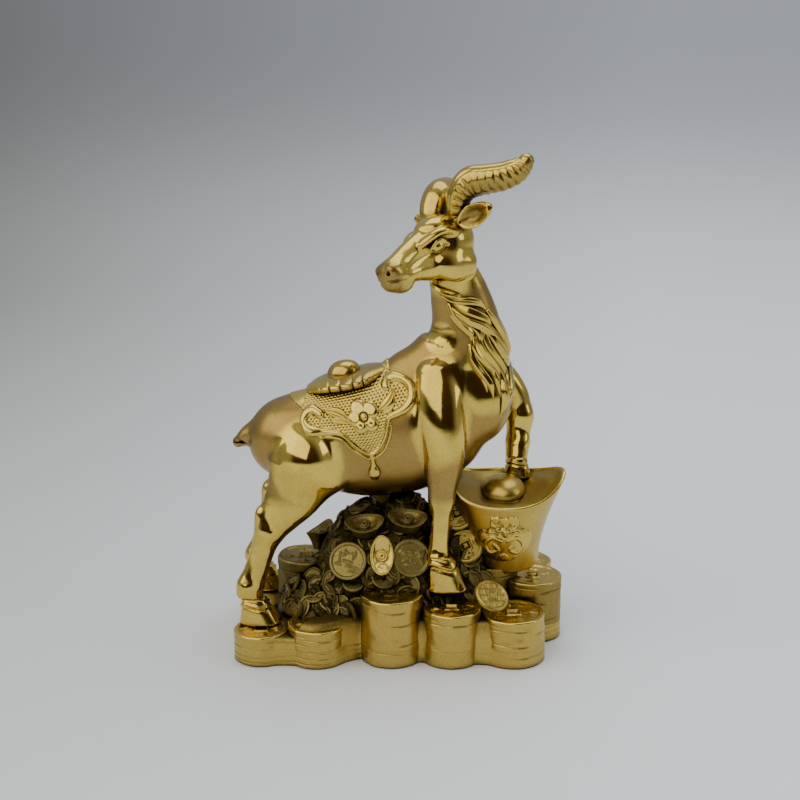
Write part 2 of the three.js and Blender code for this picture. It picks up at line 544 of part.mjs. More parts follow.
for (const [name, size] of Object.entries(HOOVES)) {
  cast(name, polishedBrass, (grow) => hoof(size, grow), [name.replace('hoof', 'coin_stack')]);
}
cast('foreleg_right', polishedBrass, (grow) => limb(FORELEG_RIGHT, { grow }));
cast('foreleg_left', polishedBrass, (grow) => limb(FORELEG_LEFT, { grow }));
cast('hindleg_right', polishedBrass, (grow) => limb(HINDLEG_RIGHT, { grow }));
cast('hindleg_left', polishedBrass, (grow) => limb(HINDLEG_LEFT, { grow }));
cast('torso', polishedBrass, (grow) => torsoAndNeck(grow).subtract(aboveSeam(grow)));
cast('tail', polishedBrass, (grow) => limb(TAIL, { around: 10, along: 4, grow }));

const headSide = headLeft.toArray();
cast('head', polishedBrass, (grow) => limb(HEAD, { side: headSide, around: 16, along: 12, grow }));
cast('neck', polishedBrass, (grow) => torsoAndNeck(grow).intersect(aboveSeam(BRAZE_GAP - grow)));
cast('horn_left', polishedBrass, (grow) => limb(HORN_LEFT, { around: 10, grow }));
cast('horn_right', polishedBrass, (grow) => limb(HORN_RIGHT, { around: 10, grow }));
cast('ear_left', polishedBrass, (grow) => limb(EAR_LEFT, { side: headSide, around: 8, along: 4, grow }));
cast('ear_right', polishedBrass, (grow) => limb(EAR_RIGHT, { side: headSide, around: 8, along: 4, grow }));
cast('throat_hair', polishedBrass, (grow) => limb(THROAT_HAIR, { around: 12, along: 10, grow }));

cast('saddle_blanket', agedBrass, saddleBlanket);
cast('saddle_seat', satinBrass, saddleSeat);
cast('saddle_knob', satinBrass, saddleKnob);
cast('blossom_right', satinBrass, blossom(-1));
cast('blossom_left', satinBrass, blossom(1));
cast('pendant_right', satinBrass, pendant(-1));
cast('pendant_left', satinBrass, pendant(1));

cast('coin_heap', agedBrass, (grow) => limb(HEAP, { around: 14, along: 5, grow }));
for (const coin of COINS) cast(coin[0], agedBrass, (grow) => coinSolid(coin, grow));
for (const nugget of NUGGETS) cast(nugget[0], satinBrass, (grow) => nuggetSolid(nugget, grow));

export default goat;
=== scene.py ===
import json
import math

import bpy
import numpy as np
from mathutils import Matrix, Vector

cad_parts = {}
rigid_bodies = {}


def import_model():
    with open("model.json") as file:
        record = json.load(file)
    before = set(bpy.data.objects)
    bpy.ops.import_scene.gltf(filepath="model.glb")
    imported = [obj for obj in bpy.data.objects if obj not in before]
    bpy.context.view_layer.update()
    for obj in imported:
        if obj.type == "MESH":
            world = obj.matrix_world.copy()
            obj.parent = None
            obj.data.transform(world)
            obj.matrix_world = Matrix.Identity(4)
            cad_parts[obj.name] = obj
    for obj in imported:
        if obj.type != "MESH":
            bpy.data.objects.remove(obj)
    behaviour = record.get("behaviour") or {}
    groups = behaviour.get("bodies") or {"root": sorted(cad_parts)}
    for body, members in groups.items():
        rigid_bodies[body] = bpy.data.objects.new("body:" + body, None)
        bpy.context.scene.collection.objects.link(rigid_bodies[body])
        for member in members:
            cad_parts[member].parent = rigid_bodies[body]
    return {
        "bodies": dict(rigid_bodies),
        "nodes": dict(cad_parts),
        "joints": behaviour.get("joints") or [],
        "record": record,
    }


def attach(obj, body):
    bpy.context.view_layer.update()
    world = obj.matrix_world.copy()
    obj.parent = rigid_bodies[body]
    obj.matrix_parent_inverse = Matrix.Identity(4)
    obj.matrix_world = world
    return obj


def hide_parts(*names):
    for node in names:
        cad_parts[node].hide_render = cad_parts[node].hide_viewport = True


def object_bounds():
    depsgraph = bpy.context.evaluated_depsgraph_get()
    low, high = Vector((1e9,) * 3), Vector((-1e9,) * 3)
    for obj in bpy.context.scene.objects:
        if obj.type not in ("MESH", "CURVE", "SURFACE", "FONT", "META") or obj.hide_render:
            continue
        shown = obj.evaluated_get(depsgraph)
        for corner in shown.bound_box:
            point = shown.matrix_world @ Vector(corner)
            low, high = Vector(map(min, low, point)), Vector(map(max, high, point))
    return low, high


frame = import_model()

# A cast-brass goat that looks back over its right flank, on a base of coin stacks.
# Shapes are worked out in millimetres on a layout 103 long and 60 deep, from 2.2 under its zero to
# 150 above, and stretched to the frame's own box when a mesh is made. +X runs to the goat's breast,
# -Y to its right flank, +Z up.

CAD_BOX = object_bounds()
MM = 0.001
FOOT = 2.2
LAYOUT = np.array([103.0, 60.0, 150.0 + FOOT])
STRETCH = (np.array(CAD_BOX[1]) - np.array(CAD_BOX[0])) / (LAYOUT * MM)
DRAW = np.random.default_rng(7)
RIGHT, LEFT = -1, 1


# ---- Finishes ---------------------------------------------------------------------------------

def linear(code):
    """A colour written as sRGB hex, turned to the linear values a shader takes."""
    shown = [int(code[i:i + 2], 16) / 255 for i in (0, 2, 4)]
    return [c / 12.92 if c <= 0.04045 else ((c + 0.055) / 1.055) ** 2.4 for c in shown] + [1.0]


def add_node(tree, kind, settings=None, links=None):
    """One node with its settings (a socket's name or number, or a property's name, to a value)
    and its links (a socket's name or number to the output that feeds it)."""
    node = tree.nodes.new(kind)
    for name, value in (settings or {}).items():
        if isinstance(name, int) or name in node.inputs:
            node.inputs[name].default_value = value
        else:
            setattr(node, name, value)
    for name, source in (links or {}).items():
        tree.links.new(source, node.inputs[name])
    return node


def cast_brass(name, bright, dull, grime_and_shade, polish, satin, wave=0.6, dirt=1.0):
    """Cast brass (copper and zinc), sand cast, filed and buffed. The wheel reaches what stands
    proud, which turns bright; recesses keep the brown casting skin and old polish, which an
    occlusion term finds. Buffing leaves a slow waviness of about 6 mm, fine hairlines and pits."""
    material = bpy.data.materials.new(name)
    material.use_nodes = True
    tree = material.node_tree
    shader = tree.nodes["Principled BSDF"]
    shader.inputs["Metallic"].default_value = 1.0
    place = add_node(tree, "ShaderNodeTexCoord").outputs["Object"]
    satin_mask = add_node(tree, "ShaderNodeAttribute", {"attribute_name": "satin"}).outputs["Fac"]
    # a point attribute that pulls the colour towards the grime colour: tarnish on some pieces, painted shade
    # on the pieces in the goat's shadow and on the horns' undersides
    tarnish_and_shade_mask = add_node(tree, "ShaderNodeAttribute", {"attribute_name": "tarnish_and_shade"}).outputs["Fac"]
    # slow patches of tone, about 9 mm across
    patches = add_node(tree, "ShaderNodeTexNoise", {"Scale": 110.0, "Detail": 4.0, "Roughness": 0.6},
                       {"Vector": place})
    # pits and specks of the casting skin, about 0.5 mm
    specks = add_node(tree, "ShaderNodeTexNoise", {"Scale": 1900.0, "Detail": 3.0, "Roughness": 0.65},
                      {"Vector": place})
    # hairlines of the buffing wheel: 0.15 mm apart, stretched along X
    lay = add_node(tree, "ShaderNodeMapping", {"Scale": (0.05, 0.7, 1.0), "Rotation": (0.0, 0.35, 0.0)},
                   {"Vector": place})
    hairlines = add_node(tree, "ShaderNodeTexNoise", {"Scale": 6500.0, "Detail": 2.0, "Roughness": 0.5},
                         {"Vector": lay.outputs["Vector"]})
    recess = add_node(tree, "ShaderNodeAmbientOcclusion", {"Distance": 0.0032, "samples": 8})
    open_sky = add_node(tree, "ShaderNodeMapRange", {"From Min": 0.3, "From Max": 0.8},
                        {"Value": recess.outputs["AO"]})
    speckled = add_node(tree, "ShaderNodeMapRange",
                        {"From Min": 0.3, "From Max": 0.75, "To Min": 0.22 * dirt, "To Max": -0.12 * dirt},
                        {"Value": specks.outputs["Fac"]})
    worn = add_node(tree, "ShaderNodeMath", {"operation": "SUBTRACT"},
                    {0: open_sky.outputs["Result"], 1: speckled.outputs["Result"]})
    clean_and_unshaded = add_node(tree, "ShaderNodeMath", {"operation": "SUBTRACT", "use_clamp": True},
                     {0: worn.outputs["Value"], 1: tarnish_and_shade_mask})
    tone = add_node(tree, "ShaderNodeMapRange", {"From Min": 0.3, "From Max": 0.7},
                    {"Value": patches.outputs["Fac"]})
    softer = add_node(tree, "ShaderNodeMath", {"operation": "MULTIPLY_ADD", 1: 0.45, "use_clamp": True},
                      {0: tone.outputs["Result"], 2: satin_mask})
    metal = add_node(tree, "ShaderNodeMix", {"data_type": "RGBA", 6: linear(bright), 7: linear(dull)},
                     {0: softer.outputs["Value"]})
    # the grime colour stands for the brown casting skin in recesses and, where the point attribute asks for
    # it, for painted shade
    mixed = add_node(tree, "ShaderNodeMix", {"data_type": "RGBA", 6: linear(grime_and_shade)},
                     {0: clean_and_unshaded.outputs["Value"], 7: metal.outputs[2]})
    tree.links.new(mixed.outputs[2], shader.inputs["Base Color"])
    # roughness: polished or satin by the mask, rougher where the wheel did not reach
    finish = add_node(tree, "ShaderNodeMapRange", {"To Min": polish, "To Max": satin},
                      {"Value": satin_mask})
    uneven = add_node(tree, "ShaderNodeMapRange",
                      {"From Min": 0.3, "From Max": 0.7, "To Min": -0.03, "To Max": 0.05},
                      {"Value": specks.outputs["Fac"]})
    unreached = add_node(tree, "ShaderNodeMapRange", {"To Min": 0.34, "To Max": 0.0},
                         {"Value": clean_and_unshaded.outputs["Value"]})
    first = add_node(tree, "ShaderNodeMath", {"operation": "ADD"},
                     {0: finish.outputs["Result"], 1: uneven.outputs["Result"]})
    total = add_node(tree, "ShaderNodeMath", {"operation": "ADD", "use_clamp": True},
                     {0: first.outputs["Value"], 1: unreached.outputs["Result"]})
    tree.links.new(total.outputs["Value"], shader.inputs["Roughness"])
    # relief: waviness left by filing, then hairlines where satin, then pits
    waves = add_node(tree, "ShaderNodeTexNoise", {"Scale": 150.0, "Detail": 1.5, "Roughness": 0.4},
                     {"Vector": place})
    relief = add_node(tree, "ShaderNodeBump", {"Strength": wave, "Distance": 0.00022},
                      {"Height": waves.outputs["Fac"]})
    brushed = add_node(tree, "ShaderNodeMix", {"data_type": "FLOAT", 2: 0.5},
                       {0: satin_mask, 3: hairlines.outputs["Fac"]})
    lines = add_node(tree, "ShaderNodeBump", {"Strength": 0.35, "Distance": 0.00003},
                     {"Height": brushed.outputs[0], "Normal": relief.outputs["Normal"]})
    pits = add_node(tree, "ShaderNodeBump", {"Strength": 0.12 * dirt, "Distance": 0.00005},
                    {"Height": specks.outputs["Fac"], "Normal": lines.outputs["Normal"]})
    tree.links.new(pits.outputs["Normal"], shader.inputs["Normal"])
    return material


BUFFED = cast_brass("buffed_cast_brass", "E2C45A", "A4884A", "2C2617", 0.07, 0.3)
BRUSHED = cast_brass("brushed_cast_brass", "E4C964", "C2A654", "2C2516", 0.14, 0.32, wave=0.9)
# a darker copy of the brass whose colours carry painted shade, for the pieces in the goat's shadow: the heap
# and its small coins, three loose coins, four small ingots and the left middle stack
TONED_AND_SHADED = cast_brass("toned_and_shaded_cast_brass", "B3A060", "85773F", "241E10", 0.24, 0.42, wave=1.0, dirt=1.4)


# ---- Making meshes ----------------------------------------------------------------------------

def add_piece(name, points, faces, finish, slot, nodes, normals=None, satin=None, tarnish_and_shade=None,
              crease=None):
    """A closed mesh from points in layout millimetres and face arrays, turned to point outwards."""
    points = np.asarray(points, dtype=float)
    volume = 0.0
    for block in faces:
        for k in range(1, block.shape[1] - 1):
            a, b, c = points[block[:, 0]], points[block[:, k]], points[block[:, k + 1]]
            volume += float(np.einsum("ij,ij->i", a, np.cross(b, c)).sum())
    if volume < 0:
        faces = [block[:, ::-1] for block in faces]
    mesh = bpy.data.meshes.new(name)
    mesh.vertices.add(len(points))
    mesh.vertices.foreach_set("co", ((points + [0, 0, FOOT]) * STRETCH * MM).ravel())
    corners = np.concatenate([block.ravel() for block in faces])
    sizes = np.concatenate([np.full(len(block), block.shape[1]) for block in faces])
    mesh.loops.add(len(corners))
    mesh.loops.foreach_set("vertex_index", corners.astype(np.int32))
    mesh.polygons.add(len(sizes))
    mesh.polygons.foreach_set("loop_start", (np.cumsum(sizes) - sizes).astype(np.int32))
    mesh.polygons.foreach_set("use_smooth", np.ones(len(sizes), dtype=bool))
    mesh.update(calc_edges=True)
    # satin sets the finish; the second mask darkens the colour, as tarnish on some pieces and as painted
    # shade on others
    for label, mask in (("satin", satin), ("tarnish_and_shade", tarnish_and_shade)):
        mask = np.clip(0 if mask is None else mask, -1, 1) * np.ones(len(points))
        mesh.attributes.new(label, "FLOAT", "POINT").data.foreach_set("value", mask.astype(np.float32))
    if crease is not None:
        mesh.set_sharp_from_angle(angle=math.radians(crease))
    if normals is not None:
        mesh.normals_split_custom_set_from_vertices(normals.tolist())
    mesh.materials.append(finish)
    piece = bpy.data.objects.new(name, mesh)
    bpy.context.scene.collection.objects.link(piece)
    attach(piece, "root")
    if nodes:
        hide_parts(*nodes)
    return piece


def grid_faces(rows, columns, wrap_rows=False, wrap_columns=True):
    """Quads between neighbouring points of a rows by columns grid."""
    r = np.arange(rows if wrap_rows else rows - 1)[:, None]
    c = np.arange(columns if wrap_columns else columns - 1)[None, :]
    up, right = (r + 1) % rows, (c + 1) % columns
    corners = [r * columns + c, r * columns + right, up * columns + right, up * columns + c]
    return np.stack([np.broadcast_to(k, (r.shape[0], c.shape[1])).ravel() for k in corners], axis=1)


def loft(rings):
    """Rings of points (rows, columns, 3) skinned into a closed surface, with a fan from each end
    ring to its middle."""
    rings = np.asarray(rings, dtype=float)
    rows, columns = rings.shape[:2]
    points = rings.reshape(-1, 3)
    quads = grid_faces(rows, columns)
    around = np.arange(columns)
    first = np.stack([np.full(columns, rows * columns), (around + 1) % columns, around], axis=1)
    base = (rows - 1) * columns
    last = np.stack([np.full(columns, rows * columns + 1), base + around, base + (around + 1) % columns],
                    axis=1)
    points = np.vstack([points, rings[0].mean(axis=0), rings[-1].mean(axis=0)])
    return points, [quads, np.vstack([first, last])]


def joined(parts):
    """Several point and face sets made into one."""
    points, quads, fans, start = [], [], [], 0
    for own, faces in parts:
        points.append(own)
        for block in faces:
            (quads if block.shape[1] == 4 else fans).append(block + start)
        start += len(own)
    return np.vstack(points), [np.vstack(group) for group in (quads, fans) if group]


def curve(knots, s):
    """Value and slope of a Catmull-Rom line through the rows of knots at s, from 0 to len - 1."""
    knots = np.asarray(knots, dtype=float)
    padded = np.vstack([2 * knots[0] - knots[1], knots, 2 * knots[-1] - knots[-2]])
    i = np.clip(np.floor(s).astype(int), 0, len(knots) - 2)
    f = (s - i)[:, None]
    a, b, c, d = padded[i], padded[i + 1], padded[i + 2], padded[i + 3]
    value = b + 0.5 * f * (c - a + f * (2 * a - 5 * b + 4 * c - d + f * (3 * (b - c) + d - a)))
    slope = 0.5 * (c - a + 2 * f * (2 * a - 5 * b + 4 * c - d) + 3 * f * f * (3 * (b - c) + d - a))
    return value, slope


def unit(v):
    return v / np.maximum(np.linalg.norm(v, axis=-1, keepdims=True), 1e-9)


def smooth(low, high, x):
    """0 below low, 1 above high, an S between."""
    t = np.clip((x - low) / (high - low), 0, 1)
    return t * t * (3 - 2 * t)


def ripple(p, size, seed):
    """A slow, smooth, wandering value from -1 to 1: the sum of four sine waves in fixed directions."""
    own = np.random.default_rng(seed)
    total = 0
    for _ in range(4):
        direction = unit(own.normal(size=3))
        total = total + np.sin(p @ direction * (2 * math.pi / size) * own.uniform(0.7, 1.4)
                               + own.uniform(0, 6))
    return total / 4


# ---- Flesh: one smooth field ------------------------------------------------------------------
# Limbs flow into the body without an edge, which a grid of one limb can't show. So the goat's skin
# is where a field, the smoothly joined distance to all its muscles, is zero.

REACH = 4.5      # how far outside itself a muscle is asked for its distance


def oval_distance(local, radii):
    """Distance to an ellipsoid from points in its own axes: k0 (k0 - 1) / k1."""
    k0 = np.linalg.norm(local / radii, axis=1)
    k1 = np.linalg.norm(local / (radii * radii), axis=1)
    return k0 * (k0 - 1) / np.maximum(k1, 1e-6)


class Oval:
    """An ellipsoid muscle. axes holds its three directions as rows."""

    def __init__(self, centre, radii, blend, axes=None, cut=False):
        self.centre, self.radii = np.array(centre, float), np.array(radii, float)
        self.axes = np.eye(3) if axes is None else np.asarray(axes)
        self.blend, self.cut = blend, cut
        extent = np.linalg.norm(self.axes.T * self.radii, axis=1) + blend + REACH
        self.low, self.high = self.centre - extent, self.centre + extent

    def distance(self, p):
        return oval_distance((p - self.centre) @ self.axes.T, self.radii)


class Limb:
    """Elliptical sections along a smooth line through stations [x, y, z, half width along side,
    half height across it], with rounded ends."""

    def __init__(self, stations, blend, side=(0, 1, 0), cut=False):
        self.stations = np.array(stations, float)
        self.side = np.array(side, float)
        self.blend, self.cut = blend, cut
        reach = self.stations[:, 3:].max() + blend + REACH
        self.low = self.stations[:, :3].min(axis=0) - reach
        self.high = self.stations[:, :3].max(axis=0) + reach
        self.steps = 8 * (len(self.stations) - 1)
        self.line = curve(self.stations, np.linspace(0, len(self.stations) - 1, self.steps + 1))[0][:, :3]

    def distance(self, p):
        best = np.full(len(p), 1e9)
        where = np.zeros(len(p))
        for i in range(self.steps):
            a, ab = self.line[i], self.line[i + 1] - self.line[i]
            t = np.clip((p - a) @ ab / (ab @ ab), 0, 1)
            gap = ((p - a - t[:, None] * ab) ** 2).sum(axis=1)
            closer = gap < best
            best = np.where(closer, gap, best)
            where = np.where(closer, i + t, where)
        s = where / 8
        last = len(self.stations) - 1
        for _ in range(2):
            value, slope = curve(self.stations, s)
            s = np.clip(s + ((p - value[:, :3]) * slope[:, :3]).sum(axis=1)
                        / np.maximum((slope[:, :3] ** 2).sum(axis=1), 1e-6), 0, last)
        value, slope = curve(self.stations, s)
        along = unit(slope[:, :3])
        across = unit(self.side - (along @ self.side)[:, None] * along)
        upright = np.cross(along, across)
        rest = p - value[:, :3]
        local = np.stack([(rest * across).sum(axis=1), (rest * upright).sum(axis=1),
                          (rest * along).sum(axis=1)], axis=1)
        half, tall = np.maximum(value[:, 3], 0.2), np.maximum(value[:, 4], 0.2)
        return oval_distance(local, np.stack([half, tall, np.minimum(half, tall)], axis=1))


def field(p, muscles):
    """Joins muscles one after another with a cubic smooth minimum; a cut is a smooth subtraction."""
    value = np.full(len(p), 30.0)
    for muscle in muscles:
        near = np.all((p > muscle.low) & (p < muscle.high), axis=1)
        if not near.any():
            continue
        own = muscle.distance(p[near])
        old = value[near]
        if muscle.cut:
            own = -own
            h = np.maximum(muscle.blend - np.abs(old - own), 0) / muscle.blend
            value[near] = np.maximum(old, own) + h ** 3 * muscle.blend / 6
        else:
            h = np.maximum(muscle.blend - np.abs(old - own), 0) / muscle.blend
            value[near] = np.minimum(old, own) - h ** 3 * muscle.blend / 6
    return value


def field_slope(p, muscles, step=0.08):
    """Gradient of the field from four samples on a tetrahedron."""
    corners = np.array([[1, -1, -1], [-1, -1, 1], [-1, 1, -1], [1, 1, 1]], float)
    return sum(k * field(p + k * step, muscles)[:, None] for k in corners) / (4 * step)


# The head's own axes: it looks back over the right flank, a little down, its left side raised.
HEAD_SIZE = 1.05
HEAD_CENTRE = np.array([11.8, -7.2, 122.6])
YAW, PITCH, ROLL = (math.radians(a) for a in (42, 10.5, 12))
FORWARD = np.array([-math.cos(YAW) * math.cos(PITCH), -math.sin(YAW) * math.cos(PITCH), -math.sin(PITCH)])
level = np.array([math.sin(YAW), -math.cos(YAW), 0])
upright = np.cross(FORWARD, level)
HEAD_LEFT = level * math.cos(ROLL) + upright * math.sin(ROLL)
HEAD_UP = upright * math.cos(ROLL) - level * math.sin(ROLL)
HEAD_AXES = np.array([FORWARD, HEAD_LEFT, HEAD_UP])


def on_head(points):
    """Points given forward, left and up of the head's centre, in layout millimetres."""
    return HEAD_CENTRE + np.asarray(points, float) @ HEAD_AXES * HEAD_SIZE


def turned_axes(axes, angle, about):
    """Three axes turned by degrees about one of them (0, 1 or 2)."""
    a = math.radians(angle)
    i, j = [k for k in range(3) if k != about]
    turned = axes.copy()
    turned[i] = axes[i] * math.cos(a) + axes[j] * math.sin(a)
    turned[j] = axes[j] * math.cos(a) - axes[i] * math.sin(a)
    return turned


def head_oval(centre, radii, blend, cut=False, angle=0, about=1):
    return Oval(on_head(centre), np.array(radii) * HEAD_SIZE, blend, turned_axes(HEAD_AXES, angle, about),
                cut)


def head_limb(stations, blend, cut=False):
    rows = [list(on_head(row[:3])) + [row[3] * HEAD_SIZE, row[4] * HEAD_SIZE] for row in stations]
    return Limb(rows, blend, side=HEAD_LEFT, cut=cut)


def mirrored_y(stations):
    return [[x, -y, *rest] for x, y, *rest in stations]


TORSO = [
    [-36, 0, 61.2, 10, 10.8], [-29, 0, 61.8, 12.8, 14.8], [-20, 0, 62, 14.2, 17], [-9, 0, 63, 14.8, 19.4],
    [3, 0, 66, 14.8, 20.3], [13, 0, 70, 13, 18.5], [21, 0, 74, 10.5, 13],
]
NECK = [
    [15.5, 0, 74, 11.5, 14.5], [17, 0, 84, 11, 15.2], [19.7, -0.3, 92, 9.6, 12.6],
    [19.6, -0.8, 99, 8.4, 10.3],
    [17.8, -1.8, 107, 6.6, 8.8], [15.8, -3, 114, 5.6, 7.4], [14.6, -3.8, 120, 5, 6.6],
]
TAIL = [[-41, 0, 65, 3.6, 4.2], [-46, 0, 63, 3.2, 3.4], [-49.7, 0, 60.8, 2, 1.8]]
FORELEG_RIGHT = [
    [11.2, -8, 85, 4.2, 6], [12.2, -10, 77, 5, 6.6], [12.7, -11.8, 68.5, 5.4, 6.2], [13.3, -13, 60, 5.1, 6],
    [12.8, -13.2, 51.5, 4.0, 4.7], [12.4, -13.2, 45.5, 3.5, 3.6], [12, -13.3, 38, 2.9, 3.1],
    [11.7, -13.4, 32, 2.9, 3.1],
    [11.5, -13.6, 27.5, 3.2, 3.6], [12, -14, 23, 3.1, 3.4], [12.8, -14.2, 20, 3.2, 3.6],
]
FORELEG_LEFT = [
    [22, 8, 82, 4.6, 6], [29.6, 10.4, 79.4, 4.3, 5.6], [35.4, 11.3, 72.8, 3.9, 4.7],
    [37.2, 10.7, 65.6, 3.7, 4.3],
    [37.1, 9.2, 60.5, 3.2, 3.7], [36.8, 7.9, 57, 3.3, 3.7], [36.5, 6.6, 54, 3.2, 3.5],
]
HINDLEG_RIGHT = [
    [-28, -8.6, 64, 6, 10.5], [-28.8, -10.4, 55.5, 6.4, 11.4], [-32, -11.6, 48, 5.4, 8.9],
    [-36.2, -12.2, 41.5, 4.3, 6.6],
    [-40, -12.6, 35, 3.6, 4.3], [-42.4, -12.9, 28.5, 3.0, 3.6], [-44.2, -13.2, 23, 3.1, 3.8],
    [-45.7, -13.5, 18.4, 3.5, 4.1],
    [-45.2, -13.9, 14.3, 3.1, 3.2], [-44.4, -14.2, 12, 3.2, 3.4],
]


def body_muscles():
    """Trunk, neck, tail and legs, from the largest to the smallest."""
    muscles = [
        Limb(TORSO, 1.0),
        Oval((-33, 0, 63), (12.4, 12, 12.2), 5),
        Limb(NECK, 7),
        Oval((5.5, 0, 83.5), (9.5, 6.5, 6.5), 6),
        Oval((24, -3.2, 74), (9.6, 8.2, 13), 3.5, turned_axes(np.eye(3), -14, 1)),
        Oval((27, 4.6, 72), (7.8, 6.6, 10.5), 3, turned_axes(np.eye(3), -14, 1)),
        Limb(TAIL, 2.5),
        Oval((11.8, -10.4, 72.5), (7.5, 6.2, 16.5), 1.6, turned_axes(turned_axes(np.eye(3), 8, 1), -14, 0)),
        Limb(FORELEG_RIGHT, 2.2),
        Oval((15.5, 9.2, 78), (8.6, 6, 11), 2, turned_axes(np.eye(3), 25, 1)),
        Limb(FORELEG_LEFT, 2.4),
    ]
    for flank in (RIGHT, LEFT):
        stations = HINDLEG_RIGHT if flank == RIGHT else mirrored_y(HINDLEG_RIGHT)
        muscles += [
            Oval((-28.2, flank * 9.7, 57.2), (9.0, 9.4, 12), 1.5),
            Limb(stations, 2.6),
            Oval((-20.5, flank * 10.6, 54.5), (4.6, 4.2, 6.4), 4),
            Oval((-42.2, flank * 12.5, 40.2), (2.0, 2.0, 3.8), 2.5),
            Oval((-39.8, flank * 12.6, 36), (4.1, 3.7, 4.2), 2.5),
            Oval((-46.6, flank * 13.4, 18.6), (3.4, 3.4, 3.2), 2),
            Oval((-48.9, flank * 14.6, 16.6), (1.2, 1.2, 1.6), 1),
            Limb([[-43.4, flank * 16.9, 33, 0.6, 0.6], [-45.6, flank * 17.1, 26, 0.7, 0.7],
                  [-47.4, flank * 17.6, 21, 0.5, 0.5]], 1.6, cut=True),
            Limb([[-39.6, flank * 16.6, 46, 0.6, 0.6], [-40.2, flank * 17.2, 42, 0.8, 0.8],
                  [-38.8, flank * 17.6, 38, 0.5, 0.5]], 2.4, cut=True),
        ]
    muscles += [
        Oval((12.7, -13.3, 46.4), (3.9, 3.7, 4.4), 2.2),
        Oval((11.2, -13.5, 27.4), (3.6, 3.6, 3.2), 2),
        Oval((8.4, -14.6, 25.6), (1.2, 1.2, 1.6), 1),
        Limb([[10.6, -17.6, 52, 0.5, 0.5], [10.2, -17.4, 44, 0.7, 0.7], [10.4, -17.1, 32, 0.5, 0.5]], 1.6,
             cut=True),
        Limb([[15.9, -17.8, 56, 0.5, 0.5], [15.4, -17.7, 50, 0.7, 0.7], [14.3, -17.3, 40, 0.4, 0.4]], 1.6,
             cut=True),
        Oval((38, 10.8, 66), (3.9, 3.9, 4.4), 2),
        Oval((37, 8.9, 58.4), (3.6, 3.6, 3.0), 2),
        # the flank's hollow in front of the thigh, and the crease between shoulder and breast
        Oval((-15.5, -18.6, 57), (4.5, 5, 9), 4, cut=True),
        Oval((-15.5, 18.6, 57), (4.5, 5, 9), 4, cut=True),
        Limb([[20.4, -11.6, 86, 0.4, 0.4], [20.6, -13.2, 76, 1.0, 1.0], [21, -12.4, 66, 0.6, 0.6]], 2.4,
             cut=True),
    ]
    return muscles


def head_muscles():
    """Skull, muzzle, jaw, brows, eyes and nostrils in the head's own axes."""
    muscles = [
        head_oval((-3.2, 0, 0.6), (8.2, 6.4, 7.6), 3),
        head_limb([[-1, 0, 2.6, 4.6, 4.4], [5, 0, 2.8, 3.8, 3.8], [11, 0, 1.7, 3.2, 3.2],
                   [15.5, 0, 0.2, 3.1, 3.0], [19.2, 0, -1.4, 3.0, 2.8]], 3),
        head_limb([[0, 0, -4.4, 4.8, 4.6], [6, 0, -4.0, 4, 4], [12, 0, -3.4, 3.4, 3.2],
                   [16.4, 0, -3.7, 3.4, 3], [19.8, 0, -4.2, 3.2, 2.8]], 3.5),
        head_oval((19.2, 0, -1.9), (3.5, 3.8, 3.5), 3.2),
        head_oval((16.8, 0, -6.1), (3.2, 2.9, 2.1), 1.8),
        head_oval((1, 0, 6.2), (5.2, 4.6, 2.6), 3),
    ]
    for side in (LEFT, RIGHT):
        muscles += [
            head_oval((-0.6, side * 3.1, -5), (7, 3.3, 5.4), 1.8, angle=14),
            head_oval((-4.4, side * 3.4, -6.2), (3.6, 2.8, 4), 1.6),
            head_limb([[-1.6, side * 5.2, 3.4, 1.5, 1.3], [2, side * 5.9, 4.6, 1.6, 1.3],
                       [5.8, side * 4.9, 4.3, 1.6, 1.2],
                       [9.4, side * 3.2, 2.9, 1.2, 1]], 1.4),
            head_oval((4.2, side * 6.9, 1.0), (3.6, 1.9, 2.2), 2.6, cut=True, angle=-14),
            head_limb([[8.6, side * 4.4, -1.4, 0.6, 0.8], [12, side * 4.1, -1.6, 0.7, 1],
                       [15.5, side * 3.9, -2, 0.4, 0.5]],
                      1.8, cut=True),
            head_oval((4.3, side * 4.3, 1.2), (2.3, 1.5, 1.5), 0.9, angle=-14),
            head_limb([[1.6, side * 5.3, 0.8, 0.3, 0.3], [3.2, side * 5.7, 2.4, 0.45, 0.45],
                       [5.2, side * 5.3, 2.5, 0.45, 0.45],
                       [7.2, side * 4.3, 0.8, 0.3, 0.3]], 1.0),
            head_oval((20.4, side * 2.4, -0.6), (1.9, 1.3, 1.5), 1.6),
            head_oval((22.3, side * 2.3, -1.1), (1.3, 0.5, 0.55), 0.9, cut=True, angle=30),
            head_limb([[22.6, side * 1.6, -3.4, 0.2, 0.2], [21, side * 3.1, -3.6, 0.26, 0.26],
                       [17.8, side * 4.1, -4.0, 0.3, 0.32],
                       [14.6, side * 4.3, -3.8, 0.3, 0.32], [12.2, side * 4.4, -3.1, 0.24, 0.24]], 0.9,
                       cut=True),
        ]
    return muscles


BODY = body_muscles()
HEAD = head_muscles()
# the neck's end reaches into the skull, so the head's muscles join the body's in one list
GOAT = BODY + HEAD


# Seams: where one casting ends and the next begins. Each is a number that is negative on the
# casting's own side; a casting also gives way to those before it in the list.
def beyond(point, normal):
    normal = unit(np.array(normal, float))
    return lambda p: -(p - np.array(point)) @ normal


def all_of(*sides):
    return lambda p: np.maximum.reduce([side(p) for side in sides])


